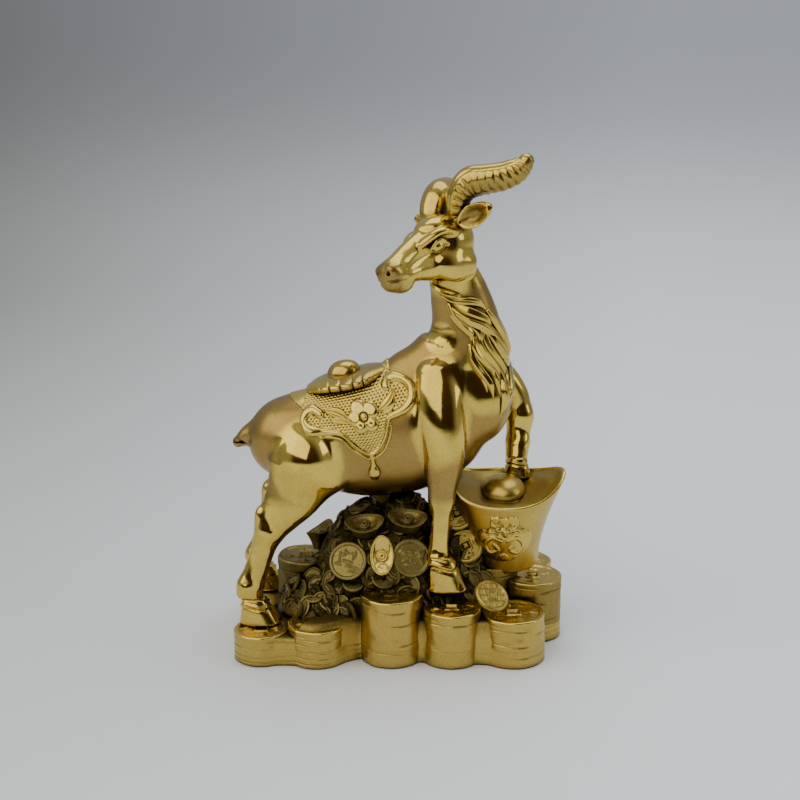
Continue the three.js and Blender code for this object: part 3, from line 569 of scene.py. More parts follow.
SEAMS = {
    "foreleg_left": all_of(beyond((29.5, 8, 78), (0.6, 0.65, -0.3)), beyond((0, 2, 0), (0, 1, 0))),
    "foreleg_right": all_of(beyond((0, 0, 63), (0, 0, -1)), beyond((0, -7.8, 0), (0, -1, 0)),
                            beyond((4.5, 0, 0), (1, 0, 0))),
    "hindleg_right": all_of(beyond((-22, 0, 47), (-0.6, 0, -1)), beyond((0, 0, 0), (0, -1, 0)),
                            beyond((-10, 0, 0), (-1, 0, 0))),
    "hindleg_left": all_of(beyond((-22, 0, 47), (-0.6, 0, -1)), beyond((0, 0, 0), (0, 1, 0)),
                           beyond((-10, 0, 0), (-1, 0, 0))),
    "tail": beyond((-45, 0, 62), (-1, 0, 0)),
    "head": beyond((15, 0, 110.5), (-0.29, 0, 0.957)),
    "neck": beyond((16, 0, 86), (0.616, 0, 0.788)),
    "torso": lambda p: np.full(len(p), -10.0),
}
SEAM_LAP = 0.9       # how far one casting runs on under its neighbour
SEAM_DIP = 0.07      # how much it dips under it there


def region(name, p):
    """How far points lie outside a casting's own share of the flesh."""
    order = list(SEAMS)
    value = SEAMS[name](p)
    for earlier in order[:order.index(name)]:
        value = np.maximum(value, -SEAMS[earlier](p))
    return value


def skinned(muscles, outside, low, high, pitch):
    """Surface of the field inside a region, by surface nets: one point in each cell that the skin
    crosses, at the mean of the crossings on its edges, and one quad across each crossed edge. The
    points are then pulled to the skin along the field's slope, which also gives the normals."""
    low, high = np.array(low, float), np.array(high, float)
    coarse = 4
    blocks = np.ceil((high - low) / (pitch * coarse)).astype(int)
    counts = blocks * coarse + 1

    def lattice(shape, spacing):
        axes = [low[k] + np.arange(shape[k]) * spacing for k in range(3)]
        return np.stack(np.meshgrid(*axes, indexing="ij"), axis=-1).reshape(-1, 3)

    def shaped(p):
        depth = outside(p)
        return np.maximum(field(p, muscles) + SEAM_DIP * np.clip(depth, 0, SEAM_LAP) / SEAM_LAP,
                          depth - SEAM_LAP)

    rough = shaped(lattice(blocks + 1, pitch * coarse)).reshape(blocks + 1)
    index = [np.minimum((np.arange(n) + coarse // 2) // coarse, b) for n, b in zip(counts, blocks)]
    value = rough[np.ix_(*index)].copy().ravel()
    near = np.abs(value) < pitch * coarse * 1.9
    value[near] = shaped(lattice(counts, pitch)[near])
    value = value.reshape(counts)
    inside = value < 0
    cells = [slice(0, -1), slice(1, None)]
    corner = np.stack([value[cells[i], cells[j], cells[k]] for i in (0, 1) for j in (0, 1)
                       for k in (0, 1)], axis=-1)
    filled = (corner < 0).sum(axis=-1)
    active = (filled > 0) & (filled < 8)
    number = np.full(active.shape, -1)
    number[active] = np.arange(active.sum())
    base = np.argwhere(active).astype(float)
    own = corner[active]
    offsets = np.array([[i, j, k] for i in (0, 1) for j in (0, 1) for k in (0, 1)], float)
    total, count = np.zeros((len(own), 3)), np.zeros((len(own), 1))
    for a in range(8):
        for b in range(a + 1, 8):
            if np.abs(offsets[a] - offsets[b]).sum() != 1:
                continue
            crossed = ((own[:, a] < 0) != (own[:, b] < 0))[:, None]
            t = (own[:, a] / np.where(own[:, a] == own[:, b], 1, own[:, a] - own[:, b]))[:, None]
            total += np.where(crossed, offsets[a] + np.clip(t, 0, 1) * (offsets[b] - offsets[a]), 0)
            count += crossed
    points = low + (base + total / count) * pitch
    quads = []
    for axis in range(3):
        u, v = [k for k in range(3) if k != axis]
        first = [slice(None)] * 3
        second = [slice(None)] * 3
        first[axis], second[axis] = slice(0, -1), slice(1, None)
        a, b = inside[tuple(first)], inside[tuple(second)]
        edge = np.argwhere(a != b)
        edge = edge[(edge[:, u] > 0) & (edge[:, v] > 0) & (edge[:, u] < counts[u] - 1)
                    & (edge[:, v] < counts[v] - 1)]
        falling = a[tuple(edge.T)]
        ring = []
        for du, dv in ((1, 1), (0, 1), (0, 0), (1, 0)):
            cell = edge.copy()
            cell[:, u] -= du
            cell[:, v] -= dv
            ring.append(number[tuple(cell.T)])
        quad = np.stack(ring, axis=1)
        if axis == 1:
            falling = ~falling
        quads.append(np.where(falling[:, None], quad, quad[:, ::-1]))
    quads = np.vstack(quads)
    for _ in range(2):
        spread, shares = np.zeros_like(points), np.zeros((len(points), 1))
        for k in range(4):
            np.add.at(spread, quads[:, k], points[quads[:, (k + 1) % 4]] + points[quads[:, (k + 3) % 4]])
            np.add.at(shares, quads[:, k], 2)
        on_skin = outside(points) < SEAM_LAP - 1.2 * pitch
        moved = np.where(on_skin[:, None], 0.5 * points + 0.5 * spread / shares, points)
        slope = field_slope(moved, muscles)
        depth = field(moved, muscles) + SEAM_DIP * np.clip(outside(moved), 0, SEAM_LAP) / SEAM_LAP
        pull = np.clip(depth / np.maximum((slope ** 2).sum(axis=1), 0.05), -pitch, pitch)[:, None] * slope
        points = np.where(on_skin[:, None], moved - pull, points)
    normals = unit(field_slope(points, muscles))
    return points, quads, normals


def satin_of(p):
    """Where the flesh is left satin from the brush and where it is buffed bright: the trunk and
    neck are satin, the shoulder, thigh, breast and everything below the trunk are buffed."""
    value = np.ones(len(p))
    bright = [
        ((12, -12, 73), (9.5, 10, 19)), ((-28, -14, 58), (11, 10, 14)), ((12, 12, 76), (10, 10, 16)),
        ((-28, 14, 58), (11, 10, 14)), ((25, -6, 82), (9, 10, 12)), ((12, -8, 95), (5, 8, 5)),
        ((10, -10, 120), (20, 16, 13)), ((38, 10, 66), (10, 10, 26)),
    ]
    for centre, radii in bright:
        value = np.minimum(value, smooth(0.85, 1.15,
                                         np.linalg.norm((p - centre) / np.array(radii, float), axis=1)))
    value = np.minimum(value, smooth(44, 50, p[:, 2]))
    return value


def build_flesh():
    """Each casting of the goat is the field's skin inside its own box and seams: the box's two
    corners, the grid's pitch and the muscles it takes in."""
    castings = {
        "torso": ((-50, -21, 40), (37, 21, 97), 0.5, BODY),
        "neck": ((2, -14, 68), (38, 14, 124), 0.45, GOAT),
        "head": ((-14, -28, 104), (26, 8, 138), 0.3, GOAT),
        "tail": ((-54, -5, 56), (-42, 5, 70), 0.4, BODY),
        "foreleg_right": ((2, -21, 16), (24, -5, 66), 0.38, BODY),
        "foreleg_left": ((20, 0, 45), (44, 18, 88), 0.4, BODY),
        "hindleg_right": ((-54, -21, 9), (-10, 1, 60), 0.42, BODY),
        "hindleg_left": ((-54, -1, 9), (-10, 21, 60), 0.42, BODY),
    }
    for name, (low, high, pitch, muscles) in castings.items():
        pitch = pitch
        points, quads, normals = skinned(muscles, lambda p, n=name: region(n, p), low, high, pitch)
        add_piece(f"{name}_casting", points, [quads], BUFFED, "polished_brass", [name],
                  normals=normals, satin=satin_of(points))


# ---- Tubes: horns, hair, pendants -------------------------------------------------------------

def tube(stations, rows, columns, side=(0, 1, 0), swell=None, caps=6):
    """Elliptical sections carried along a smooth line through stations [x, y, z, half width along
    side, half height across it], with rounded ends. swell(s, angle) multiplies a section's size,
    where s runs from 0 to 1 along the line and the angle is 0 along side, 90 degrees upright."""
    stations = np.array(stations, float)
    turn = (np.arange(caps) + 0.6) / (caps + 0.6) * math.pi / 2
    s = np.concatenate([np.zeros(caps), np.linspace(0, 1, rows), np.ones(caps)])
    shrink = np.concatenate([np.sin(turn), np.ones(rows), np.sin(turn[::-1])])
    push = np.concatenate([-np.cos(turn), np.zeros(rows), np.cos(turn[::-1])])
    value, slope = curve(stations, s * (len(stations) - 1))
    along = unit(slope[:, :3])
    side = np.array(side, float)
    across = unit(side - (along @ side)[:, None] * along)
    upright = np.cross(along, across)
    angle = np.arange(columns) / columns * 2 * math.pi
    size = shrink[:, None] * np.ones(columns)
    if swell is not None:
        size = size * swell(s[:, None], angle[None, :])
    half, tall = value[:, 3:4] * size, value[:, 4:5] * size
    centre = value[:, :3] + along * (push * np.minimum(value[:, 3], value[:, 4]))[:, None]
    rings = (centre[:, None, :] + (half * np.cos(angle))[:, :, None] * across[:, None, :]
             + (tall * np.sin(angle))[:, :, None] * upright[:, None, :])
    return rings


def ridged(count, depth, middle, spread):
    """A horn's growth rings: rounded ridges with narrow valleys, deepest at the angle middle and
    gone spread radians away from it, fading in from the root and out to the tip."""
    def swell(s, angle):
        away = np.abs((angle - middle + math.pi) % (2 * math.pi) - math.pi)
        face = 1 - smooth(0.55 * spread, spread, away)
        phase = (s * count + 0.12 * np.sin(3 * angle + 9 * s)) % 1
        ridge = np.abs(np.sin(math.pi * phase)) ** 0.7
        fade = smooth(0, 0.06, s) * (1 - smooth(0.86, 0.99, s))
        crease = 0.05 * np.exp(-((away - spread) / 0.14) ** 2)
        grain = 0.012 * np.sin(7 * angle + 13 * s) * face
        return 1 - depth * fade * face * (1 - ridge) - crease * fade + grain
    return swell


HORN_LEFT = [
    [15.2, -4.6, 127, 2.7, 2.8], [16.6, -5, 132, 3.2, 3.1], [17.5, -6, 137.6, 3.8, 3.9],
    [20.4, -7.2, 141.2, 4.2, 4.7],
    [24.8, -8.6, 142.3, 4.2, 4.4], [29.3, -9.5, 143.2, 4.0, 4.2], [33.2, -10, 144.8, 3.7, 3.8],
    [35.4, -10, 146.6, 2.9, 3.0],
    [36.2, -10, 147.7, 2.3, 2.3],
]
HORN_RIGHT = [
    [9.8, -0.8, 127, 3.2, 3.4], [9.9, 0.8, 131.5, 4.2, 4.0], [11.4, 3.6, 135.3, 4.7, 4.8],
    [13.6, 9, 136.2, 4.6, 4.6],
    [15.4, 15, 135.2, 4.2, 4], [17, 19.6, 133.8, 3.7, 3.4], [18.4, 23.2, 134.4, 2.9, 2.7],
    [19, 25, 136, 2, 1.9],
]


def build_horns():
    """Each horn is an oval section carried along its curve; its radius is notched by growth rings
    on the outer and lower side, and smooth along the upper edge."""
    for name, stations, side in (("horn_left", HORN_LEFT, (0, 1, 0)),
                                 ("horn_right", HORN_RIGHT, (1, 0, 0))):
        middle = math.radians(208 if name == "horn_left" else 80)
        rings = tube(stations, 220, 72, side, ridged(17, 0.1, middle, 1.4))
        points, faces = loft(rings)
        angle = np.append(np.tile(np.arange(72) / 72 * 2 * math.pi, len(rings)), [0, 0])
        # the underside is given a more satin finish and painted shade in its colour
        under = np.cos(angle - middle - (0.45 if name == "horn_left" else 0)) > 0.0
        turned_away = np.clip(np.cos(angle - middle - (0.5 if name == "horn_left" else 0)), 0, 1) * under
        add_piece(f"{name}_casting", points, faces, BUFFED, "polished_brass", [name],
                  satin=0.2 + 0.3 * turned_away, tarnish_and_shade=0.32 * turned_away)


def build_ears():
    """A leaf: its width swells along the length as a sine and ends in a point. The front has a
    raised rim and inside it an oval bowl; the back is one round."""
    ears = {
        "ear_left": ((16.4, -8.4, 128.9), (26.2, -12.4, 135.3), (-0.1, -0.95, 0.12), 3.5, 1.7),
        "ear_right": ((8.2, 3.4, 127.6), (4.6, 7.8, 129.2), (-0.3, -0.8, 0.5), 1.8, 0.8),
    }
    for name, (root, tip, facing, wide, deep) in ears.items():
        root, tip = np.array(root), np.array(tip)
        along = unit(tip - root)
        front = unit(np.array(facing) - along * (along @ np.array(facing)))
        across = np.cross(along, front)
        rows, columns = 90, 96
        u = (np.arange(rows) / (rows - 1))[:, None]
        a = (np.arange(columns) / columns * 2 * math.pi)[None, :]
        taper = np.sqrt(1 - (np.clip(u - 0.45, 0, 1) / 0.555) ** 1.6)
        width = wide * (0.5 + 0.5 * smooth(0, 0.45, u)) * taper
        c, rim = np.cos(a) * (1 + 0 * u), np.sin(a) * (1 + 0 * u)
        ring = np.sqrt(((u - 0.5) / 0.44) ** 2 + (c * np.minimum(1, width / wide * 1.05)) ** 2)
        bowl = -deep * (1 - smooth(0.2, 0.9, ring)) + 0.35 * np.exp(-((ring - 0.93) / 0.09) ** 2)
        front_side = 0.5 * np.abs(rim) ** 0.45 * np.minimum(1, width / wide * 1.6) + bowl
        arch = np.sin(math.pi * (0.06 + 0.9 * u)) ** 0.5
        back_side = -(0.7 + deep * 1.35) * np.abs(rim) ** 0.8 * arch - 0.1
        depth = np.where(rim > 0, front_side, back_side)
        length = np.linalg.norm(tip - root)
        rings = (root + (u * length)[..., None] * along + (width * c)[..., None] * across
                 + depth[..., None] * front)
        points, faces = loft(rings)
        inside_bowl = np.append(((rim > 0) & (ring < 0.8)).ravel(), [0, 0])
        add_piece(f"{name}_casting", points, faces, BUFFED, "polished_brass", [name],
                  satin=0.1 + 0.5 * inside_bowl, tarnish_and_shade=0.25 * inside_bowl)


# ---- Hair -------------------------------------------------------------------------------------

def skin_from(start, way, muscles):
    """Where straight lines meet the flesh: each step goes on by the field's own value."""
    t = np.zeros(len(start))
    for _ in range(34):
        t += np.clip(field(start + t[:, None] * way, muscles), -2, 2.5) * 0.92
    found = start + t[:, None] * way
    return found, np.abs(field(found, muscles)) < 0.2


# Guide lines of the locks, as (x, z) seen from the goat's right side, with a width.
LOCKS = [
    (1.35, [(12.6, 107.9), (16.4, 106.7), (20.5, 106.4), (23.5, 105.5), (25.9, 103)]),
    (1.45, [(16.4, 105.9), (18.5, 104.2), (22, 102.6), (25.4, 100.7), (27.3, 98)]),
    (1.1, [(14.4, 105.5), (16.2, 101.6), (19.4, 98.6), (20.9, 96.8), (21.2, 94)]),
    (1.55, [(15.3, 104), (19.1, 101.2), (22.9, 99.6), (26, 97.6), (28.9, 94.2), (31.6, 89.8), (33, 85.6)]),
    (1.35, [(25.9, 103), (28.6, 98.9), (30.9, 94.4), (32.2, 90.6), (32.4, 86.6)]),
    (1.3, [(25.4, 98.3), (27.6, 95), (29.9, 90.8), (32, 86.4), (33.2, 81.6)]),
    (1.45, [(21.8, 95.6), (22.2, 91.9), (24.3, 88.8), (27.5, 85.5), (29.1, 81.7), (30.1, 77.6)]),
    (1.35, [(23, 96.5), (24.3, 92.4), (26.5, 89.3), (29, 85.4), (31, 80.7), (31.7, 76.2)]),
    (1.25, [(20.7, 93.5), (21.9, 88.9), (24.4, 85.1), (26.9, 81.5), (27.9, 77.6)]),
    (1.35, [(24.8, 97.8), (25.5, 94), (27.4, 90.6), (29.6, 87.1), (31.6, 83), (32.4, 79)]),
    (1.4, [(28.6, 94.1), (30.7, 88.7), (32.6, 84), (33.2, 78.8), (32, 74)]),
    (0.95, [(9.4, 110.6), (12.9, 109.1), (16.4, 108.2), (18.7, 107.6)]),
    (1.1, [(18.2, 100.4), (21.8, 98.6), (23.6, 96.2), (23.6, 92.2)]),
    (1.1, [(21, 91.3), (23.1, 87.1), (25, 83.8), (26, 79.4)]),
    (1.2, [(29.6, 84.5), (31, 80), (31.4, 76), (30, 71.5)]),
]


def build_hair():
    """Every lock is a flattened tube that swells from its root and runs out to a point, with three
    combed ridges along it. Its line is laid on the neck and breast from the side."""
    locks = []
    for side in (RIGHT, LEFT):
        for number, (wide, guide) in enumerate(LOCKS):
            guide = np.array(guide, float)
            line = curve(guide, np.linspace(0, len(guide) - 1, 9))[0]
            start = np.stack([line[:, 0], np.full(9, 24.0 * side), line[:, 1]], axis=1)
            found, hit = skin_from(start, np.array([0, -side, 0.0]), BODY)
            # where a lock hangs clear of the skin it keeps the depth of its last point on it
            y = np.where(hit, found[:, 1], np.nan)
            known = np.flatnonzero(hit)
            if len(known) < 3:
                continue
            y = np.interp(np.arange(9), known, y[known])
            y = np.where(np.abs(y) > 2.0, y, 2.0 * side)
            t = np.linspace(0, 1, 9)
            fullness = 0.35 + 0.75 * np.sin(math.pi * np.clip(t * 0.86 + 0.1, 0, 1)) ** 0.8
            width = wide * fullness * (1 - 0.8 * smooth(0.75, 1, t))
            lift = 0.25 + 0.35 * ((number * 7) % 3)
            stations = np.stack([line[:, 0], y + side * lift * np.sin(math.pi * t) * 0.9, line[:, 1],
                                 width * 0.8, width], axis=1)

            def combed(s, angle, lay=number * 1.7):
                return 1 + 0.1 * np.cos(5 * angle + lay + 1.5 * s) * smooth(0, 0.15, s)
            rings = tube(stations, 44, 22, swell=combed, caps=4)
            locks.append(loft(rings))
    points, faces = joined(locks)
    add_piece("throat_hair_casting", points, faces, BUFFED, "polished_brass", ["throat_hair"], satin=0.08)


# ---- Hooves -----------------------------------------------------------------------------------

HOOVES = {
    "hoof_right_fore": (12, -14.2, 18.4, -4.6, 8.8, 5.0, 10.4),
    "hoof_left_fore": (36.4, 5.6, 48.2, -4.4, 5.2, 4.2, 6),
    "hoof_right_hind": (-45, -14.3, 7.4, -4.4, 8.8, 4.8, 7.8),
    "hoof_left_hind": (-45, 14.3, 7.4, -4.4, 8.8, 4.8, 7.8),
}


def build_hooves():
    """Rings from the sole to the coronet: rounded rectangles that shrink and slope back as they
    rise, pinched at the toe by the cleft, with a raised band round the top."""
    for name, (x, y, ground, heel, toe, half, height) in HOOVES.items():
        columns = 96
        a = (np.arange(columns) / columns * 2 * math.pi)[None, :]
        t = np.concatenate([[0, 0, 0.03], np.linspace(0.08, 1, 30), [1.03, 1.04]])[:, None]
        inset = np.concatenate([[0.7, 0.97, 1.0], np.ones(30), [0.8, 0.5]])[:, None]
        long = (toe - heel) / 2 * (1 - 0.44 * np.clip(t, 0, 1) ** 0.9)
        wide = half * (1 - 0.26 * np.clip(t, 0, 1))
        wave = 0.07 * np.cos(3 * a)
        band = 0.42 * np.exp(-((t - 0.8 - wave) / 0.06) ** 2)
        band = band - 0.2 * np.exp(-((t - 0.66 - wave) / 0.05) ** 2)
        cleft = 1 - 0.22 * np.exp(-(np.minimum(a, 2 * math.pi - a) / 0.13) ** 2) * (1 - smooth(0.5, 0.8, t))
        power = 0.78
        cx = np.sign(np.cos(a)) * np.abs(np.cos(a)) ** power
        cy = np.sign(np.sin(a)) * np.abs(np.sin(a)) ** power
        middle = x + (toe + heel) / 2 * (1 - 0.9 * t)
        rings = np.stack([middle + (long * cleft + band) * cx * inset,
                          y + (wide * (0.5 + 0.5 * cleft) + band) * cy * inset,
                          ground + height * t * np.ones_like(a)], axis=-1)
        points, faces = loft(rings)
        add_piece(f"{name}_casting", points, faces, BUFFED, "polished_brass", [name], satin=0.12)


# ---- Saddle -----------------------------------------------------------------------------------

# Scrolled edge band of the saddle cloth as (x, z, half width), from the rear curl to the front one.
EDGE = np.array([
    (-23.9, 72.3, 1.3), (-26.1, 73.3, 1.25), (-27.9, 72.4, 1.15), (-28.8, 70.4, 1.1), (-27.4, 68.4, 1.15),
    (-23.2, 67.7, 1.05),
    (-17.8, 67.3, 0.75), (-14.3, 64.8, 0.5), (-11.4, 62.6, 0.5), (-8.3, 61.4, 0.55), (-5.9, 63.8, 0.5),
    (-4.5, 66.8, 0.5),
    (-3.9, 69.8, 0.55), (-3.3, 72.2, 0.8), (-0.9, 73.6, 1.1), (1.8, 75.2, 1.3), (3.5, 77.6, 1.4),
    (3.5, 80.4, 1.4),
    (1.8, 82.3, 1.3), (-1.2, 83.2, 1.25), (-3.4, 82.6, 1.2), (-4.2, 80.8, 1.35),
])
HEM = np.array([(-23.5, 66.3), (-20, 66.2), (-17, 65.4), (-14.6, 62.9), (-11.4, 60.9), (-8.3, 59.8),
                (-5, 62.2), (-3.2, 66.2),
                (-2.6, 70)])


def to_curve(x, z, knots, count=260):
    """Distance from points to a curve, and the curve's further columns at the nearest place."""
    line = curve(knots, np.linspace(0, len(knots) - 1, count))[0]
    best, where = np.full(x.shape, 1e9), np.zeros(x.shape, int)
    for i, row in enumerate(line):
        gap = (x - row[0]) ** 2 + (z - row[1]) ** 2
        closer = gap < best
        best[closer], where[closer] = gap[closer], i
    return np.sqrt(best), line[where]


def inside(x, z, outline):
    """Even-odd test of points against a closed outline."""
    odd = np.zeros(x.shape, bool)
    for (ax, az), (bx, bz) in zip(outline, np.roll(outline, -1, axis=0)):
        crosses = (az > z) != (bz > z)
        odd ^= crosses & (x < (bx - ax) * (z - az) / (bz - az + 1e-12) + ax)
    return odd


def patch(points, normals, height, sink=1.1):
    """A closed sheet: a grid of skin points lifted along their normals by height, and a second
    grid sink millimetres under it, with their borders joined."""
    rows, columns = height.shape
    top = points + normals * height[..., None]
    under = points - normals * sink
    everything = np.concatenate([top, under[::-1]], axis=0)
    everything = np.concatenate([everything, everything[:, -1:]], axis=1)[:, :columns]
    flat = everything.reshape(-1, 3)
    quads = grid_faces(2 * rows, columns, wrap_rows=True, wrap_columns=False)
    ends = []
    for c in (0, columns - 1):
        k = np.arange(rows - 1)
        strip = np.stack([k, k + 1, 2 * rows - 2 - k, 2 * rows - 1 - k], axis=1) * columns + c
        ends.append(strip if c else strip[:, ::-1])
    return flat, [np.vstack([quads] + ends)]


def refine(coarse, rows, columns):
    """A coarse grid of points, spread to rows by columns by interpolating along both ways."""
    r0, c0 = coarse.shape[:2]
    r, c = np.linspace(0, r0 - 1, rows), np.linspace(0, c0 - 1, columns)
    i, j = np.minimum(r.astype(int), r0 - 2), np.minimum(c.astype(int), c0 - 2)
    fr, fc = (r - i)[:, None, None], (c - j)[None, :, None]
    a, b = coarse[i][:, j], coarse[i][:, j + 1]
    d, e = coarse[i + 1][:, j], coarse[i + 1][:, j + 1]
    return (a * (1 - fc) + b * fc) * (1 - fr) + (d * (1 - fc) + e * fc) * fr


def on_skin(coarse, rows, columns):
    """Refines a coarse grid of skin points and settles it on the flesh. Gives points and normals."""
    points = refine(coarse, rows, columns).reshape(-1, 3)
    for _ in range(2):
        slope = field_slope(points, BODY)
        depth = field(points, BODY)
        points = points - np.clip(depth / np.maximum((slope ** 2).sum(axis=1), 0.1), -1, 1)[:, None] * slope
    normals = unit(field_slope(points, BODY))
    return points.reshape(rows, columns, 3), normals.reshape(rows, columns, 3)


def dome(gap, radius):
    """Height share of a half-round bead gap millimetres from its middle."""
    return np.sqrt(np.clip(1 - (gap / radius) ** 2, 0, 1))


def barrel_skin(x_range, angle_range, coarse, rows, columns):
    """A grid of skin points round the trunk, over length and over the angle from straight up."""
    x = np.linspace(*x_range, coarse[0])
    angle = np.radians(np.linspace(*angle_range, coarse[1]))
    middle = np.interp(x, [-36, -20, -9, 3, 13], [61.2, 62, 63, 66, 70])
    way = np.stack([np.zeros(coarse[1]), np.sin(angle), np.cos(angle)], axis=1)
    start = np.stack([x, 0 * x, middle], axis=1)[:, None, :] + 28 * way[None]
    ways = np.broadcast_to(-way[None], start.shape)
    found, _ = skin_from(start.reshape(-1, 3), ways.reshape(-1, 3), BODY)
    return on_skin(found.reshape(coarse[0], coarse[1], 3), rows, columns)


def build_blanket():
    """The cloth lies on the back from flank to flank: a grid over length and angle round the
    trunk, lifted from the flesh by its thickness, a scrolled band, a hem and a field of dimples."""
    rows, columns = ((160, 300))
    points, normals = barrel_skin((-35.5, 6), (-108, 108), (36, 70), rows, columns)
    x, z = points[..., 0], points[..., 2]
    around = np.linspace(-108, 108, columns)[None, :] * math.pi / 180 * 16.5
    band, nearest = to_curve(x, z, EDGE)
    wide = nearest[..., 2]
    hem, _ = to_curve(x, z, HEM)
    outline = np.vstack([curve(EDGE, np.linspace(1.6, len(EDGE) - 2.4, 120))[0][:, :2],
                         [(-5.4, 95), (-28.4, 95), (-28.6, 73)]])
    within = inside(x, z, outline)
    flap = inside(x, z, [(-28.4, 95), (-34.6, 95), (-35, 78), (-33.4, 75.6), (-29.8, 74), (-28.4, 72.6)])
    covered = np.maximum.reduce([within * 1.0, flap * 1.0, (band < wide) * 1.0, (hem < 0.5) * 1.0,
                                 (band + hem < 2.2) * 1.0])
    ground = 0.3 * np.ones_like(x)
    cell = 1.08
    u, v = x / cell, around / (cell * 0.86)
    shift = 0.5 * (np.floor(v) % 2)
    du, dv = (u + shift) % 1 - 0.5, v % 1 - 0.5
    dimple = np.exp(-(((du * cell) ** 2 + (dv * cell * 0.86) ** 2) / 0.27 ** 2) ** 1.5)
    plain = np.exp(-((band - wide) / 0.35).clip(0, 9))
    ground = ground + within * (0.2 - 0.5 * dimple * (1 - plain))
    ridge = 0.4 + np.minimum(wide, 1.1) * 1.05 * dome(band, wide)
    height = np.where(band < wide, np.maximum(ground, ridge), ground)
    height = np.where(hem < 0.42, np.maximum(height, 0.2 + 0.42 * dome(hem, 0.42)), height)
    between = (~within) & (~flap) & (band >= wide) & (hem >= 0.42) & (covered > 0)
    height = np.where(between, 0.05, height)
    height = np.where(covered > 0, height, -0.6)
    flat, faces = patch(points, normals, height)
    mask = np.where(band < wide, 0.1, 0.3)
    tarnish_and_shade = np.where(within & (band >= wide), -0.7, -0.1) + 1.3 * dimple * within * (band >= wide)
    mask, tarnish_and_shade = (np.concatenate([k, k[::-1]]).ravel() for k in (mask, tarnish_and_shade))
    add_piece("saddle_blanket_casting", flat, faces, BRUSHED, "aged_brass", ["saddle_blanket"],
              satin=mask, tarnish_and_shade=tarnish_and_shade)


def leaf_height(x, z, root, tip, wide, tall):
    """A leaf in relief: a long dome from root to tip with a groove down its middle."""
    root, tip = np.array(root, float), np.array(tip, float)
    along = tip - root
    length = np.hypot(*along)
    along = along / length
    t = ((x - root[0]) * along[0] + (z - root[1]) * along[1]) / length
    bow = 0.5 * np.sin(math.pi * np.clip(t, 0, 1)) * wide
    d = (x - root[0]) * -along[1] + (z - root[1]) * along[0] + bow
    w = wide * np.sin(math.pi * np.clip(t, 0, 1)) ** 0.7
    body = tall * dome(d, np.maximum(w, 0.01)) - 0.45 * tall * np.exp(-(d / 0.22) ** 2) * (w > 0.4)
    return np.where((t > 0) & (t < 1) & (np.abs(d) < w), body + 0.15, -0.8)


def build_blossoms():
    """The five-petalled blossom and its leaves: domes over a fine grid of skin points."""
    for flank, name in ((RIGHT, "blossom_right"), (LEFT, "blossom_left")):
        rows, columns = ((230, 170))
        points, normals = barrel_skin((-25, 1.5), (flank * 28, flank * 92), (28, 28), rows, columns)
        x, z = points[..., 0], points[..., 2]
        cx, cz = -10.6, 72.1
        radius = np.hypot(x - cx, z - cz)
        height = np.where(radius < 4.4, 0.5, -0.8)
        for degrees, size in ((48, 2.5), (126, 2.6), (190, 2.2), (248, 2.1), (320, 2.2)):
            px, pz = cx + 2.75 * math.cos(math.radians(degrees)), cz + 2.75 * math.sin(math.radians(degrees))
            gap = np.hypot(x - px, z - pz)
            petal = 0.45 + 1.25 * dome(gap, size) ** 0.8 - 0.2 * np.exp(-(gap / 0.7) ** 2)
            height = np.where(gap < size, np.maximum(height, petal), height)
        bead = np.where(radius < 1.05, 0.75 + 0.95 * dome(radius, 1.05), -0.8)
        height = np.maximum(np.where((radius > 1.05) & (radius < 1.45), np.minimum(height, 0.55), height),
                            bead)
        for root, tip, wide, tall in (
                ((-6.4, 74.2), (-1.6, 80), 1.7, 1.2), ((-5.4, 73.6), (-1.6, 76.4), 0.9, 0.8),
                ((-14.4, 70.8), (-22.6, 73.2), 1.6, 1.2), ((-14.6, 70.2), (-21, 70.6), 1.0, 0.9)):
            height = np.maximum(height, leaf_height(x, z, root, tip, wide, tall))
        flat, faces = patch(points, normals, height, sink=1.3)
        add_piece(f"{name}_casting", flat, faces, BRUSHED, "satin_brass", [name], satin=0.1, tarnish_and_shade=-0.2)


def build_pendants():
    """A link and a drop that hang from the cloth's point: a turned profile swept down the flank."""
    for flank, name in ((RIGHT, "pendant_right"), (LEFT, "pendant_left")):
        drop = np.array([(-8.2, 60.6), (-8.1, 59), (-7.9, 57.6), (-7.7, 56.3), (-7.6, 54.9), (-7.5, 53.6)])
        start = np.stack([drop[:, 0], np.full(6, 24.0 * flank), drop[:, 1]], axis=1)
        found, _ = skin_from(start, np.array([0, -flank, 0.0]), BODY)
        size = np.array([(0.7, 0.9), (0.55, 0.6), (0.6, 0.8), (1.1, 1.5), (1.45, 1.9), (1.0, 1.3)])
        found[:, 1] += flank * 0.35
        rings = tube(np.hstack([found, size]), 40, 32)
        add_piece(f"{name}_casting", *loft(rings), BUFFED, "satin_brass", [name], satin=0.1)


SEAT = [
    [-27, 0, 77.6, 4.6, 1.6], [-24, 0, 78.9, 7.8, 2.1], [-19, 0, 80.1, 10.0, 2.5],
    [-13, 0, 81.4, 10.4, 2.6],
    [-8.5, 0, 82.7, 8.4, 2.4], [-5.5, 0, 83.6, 5.6, 1.9],
]


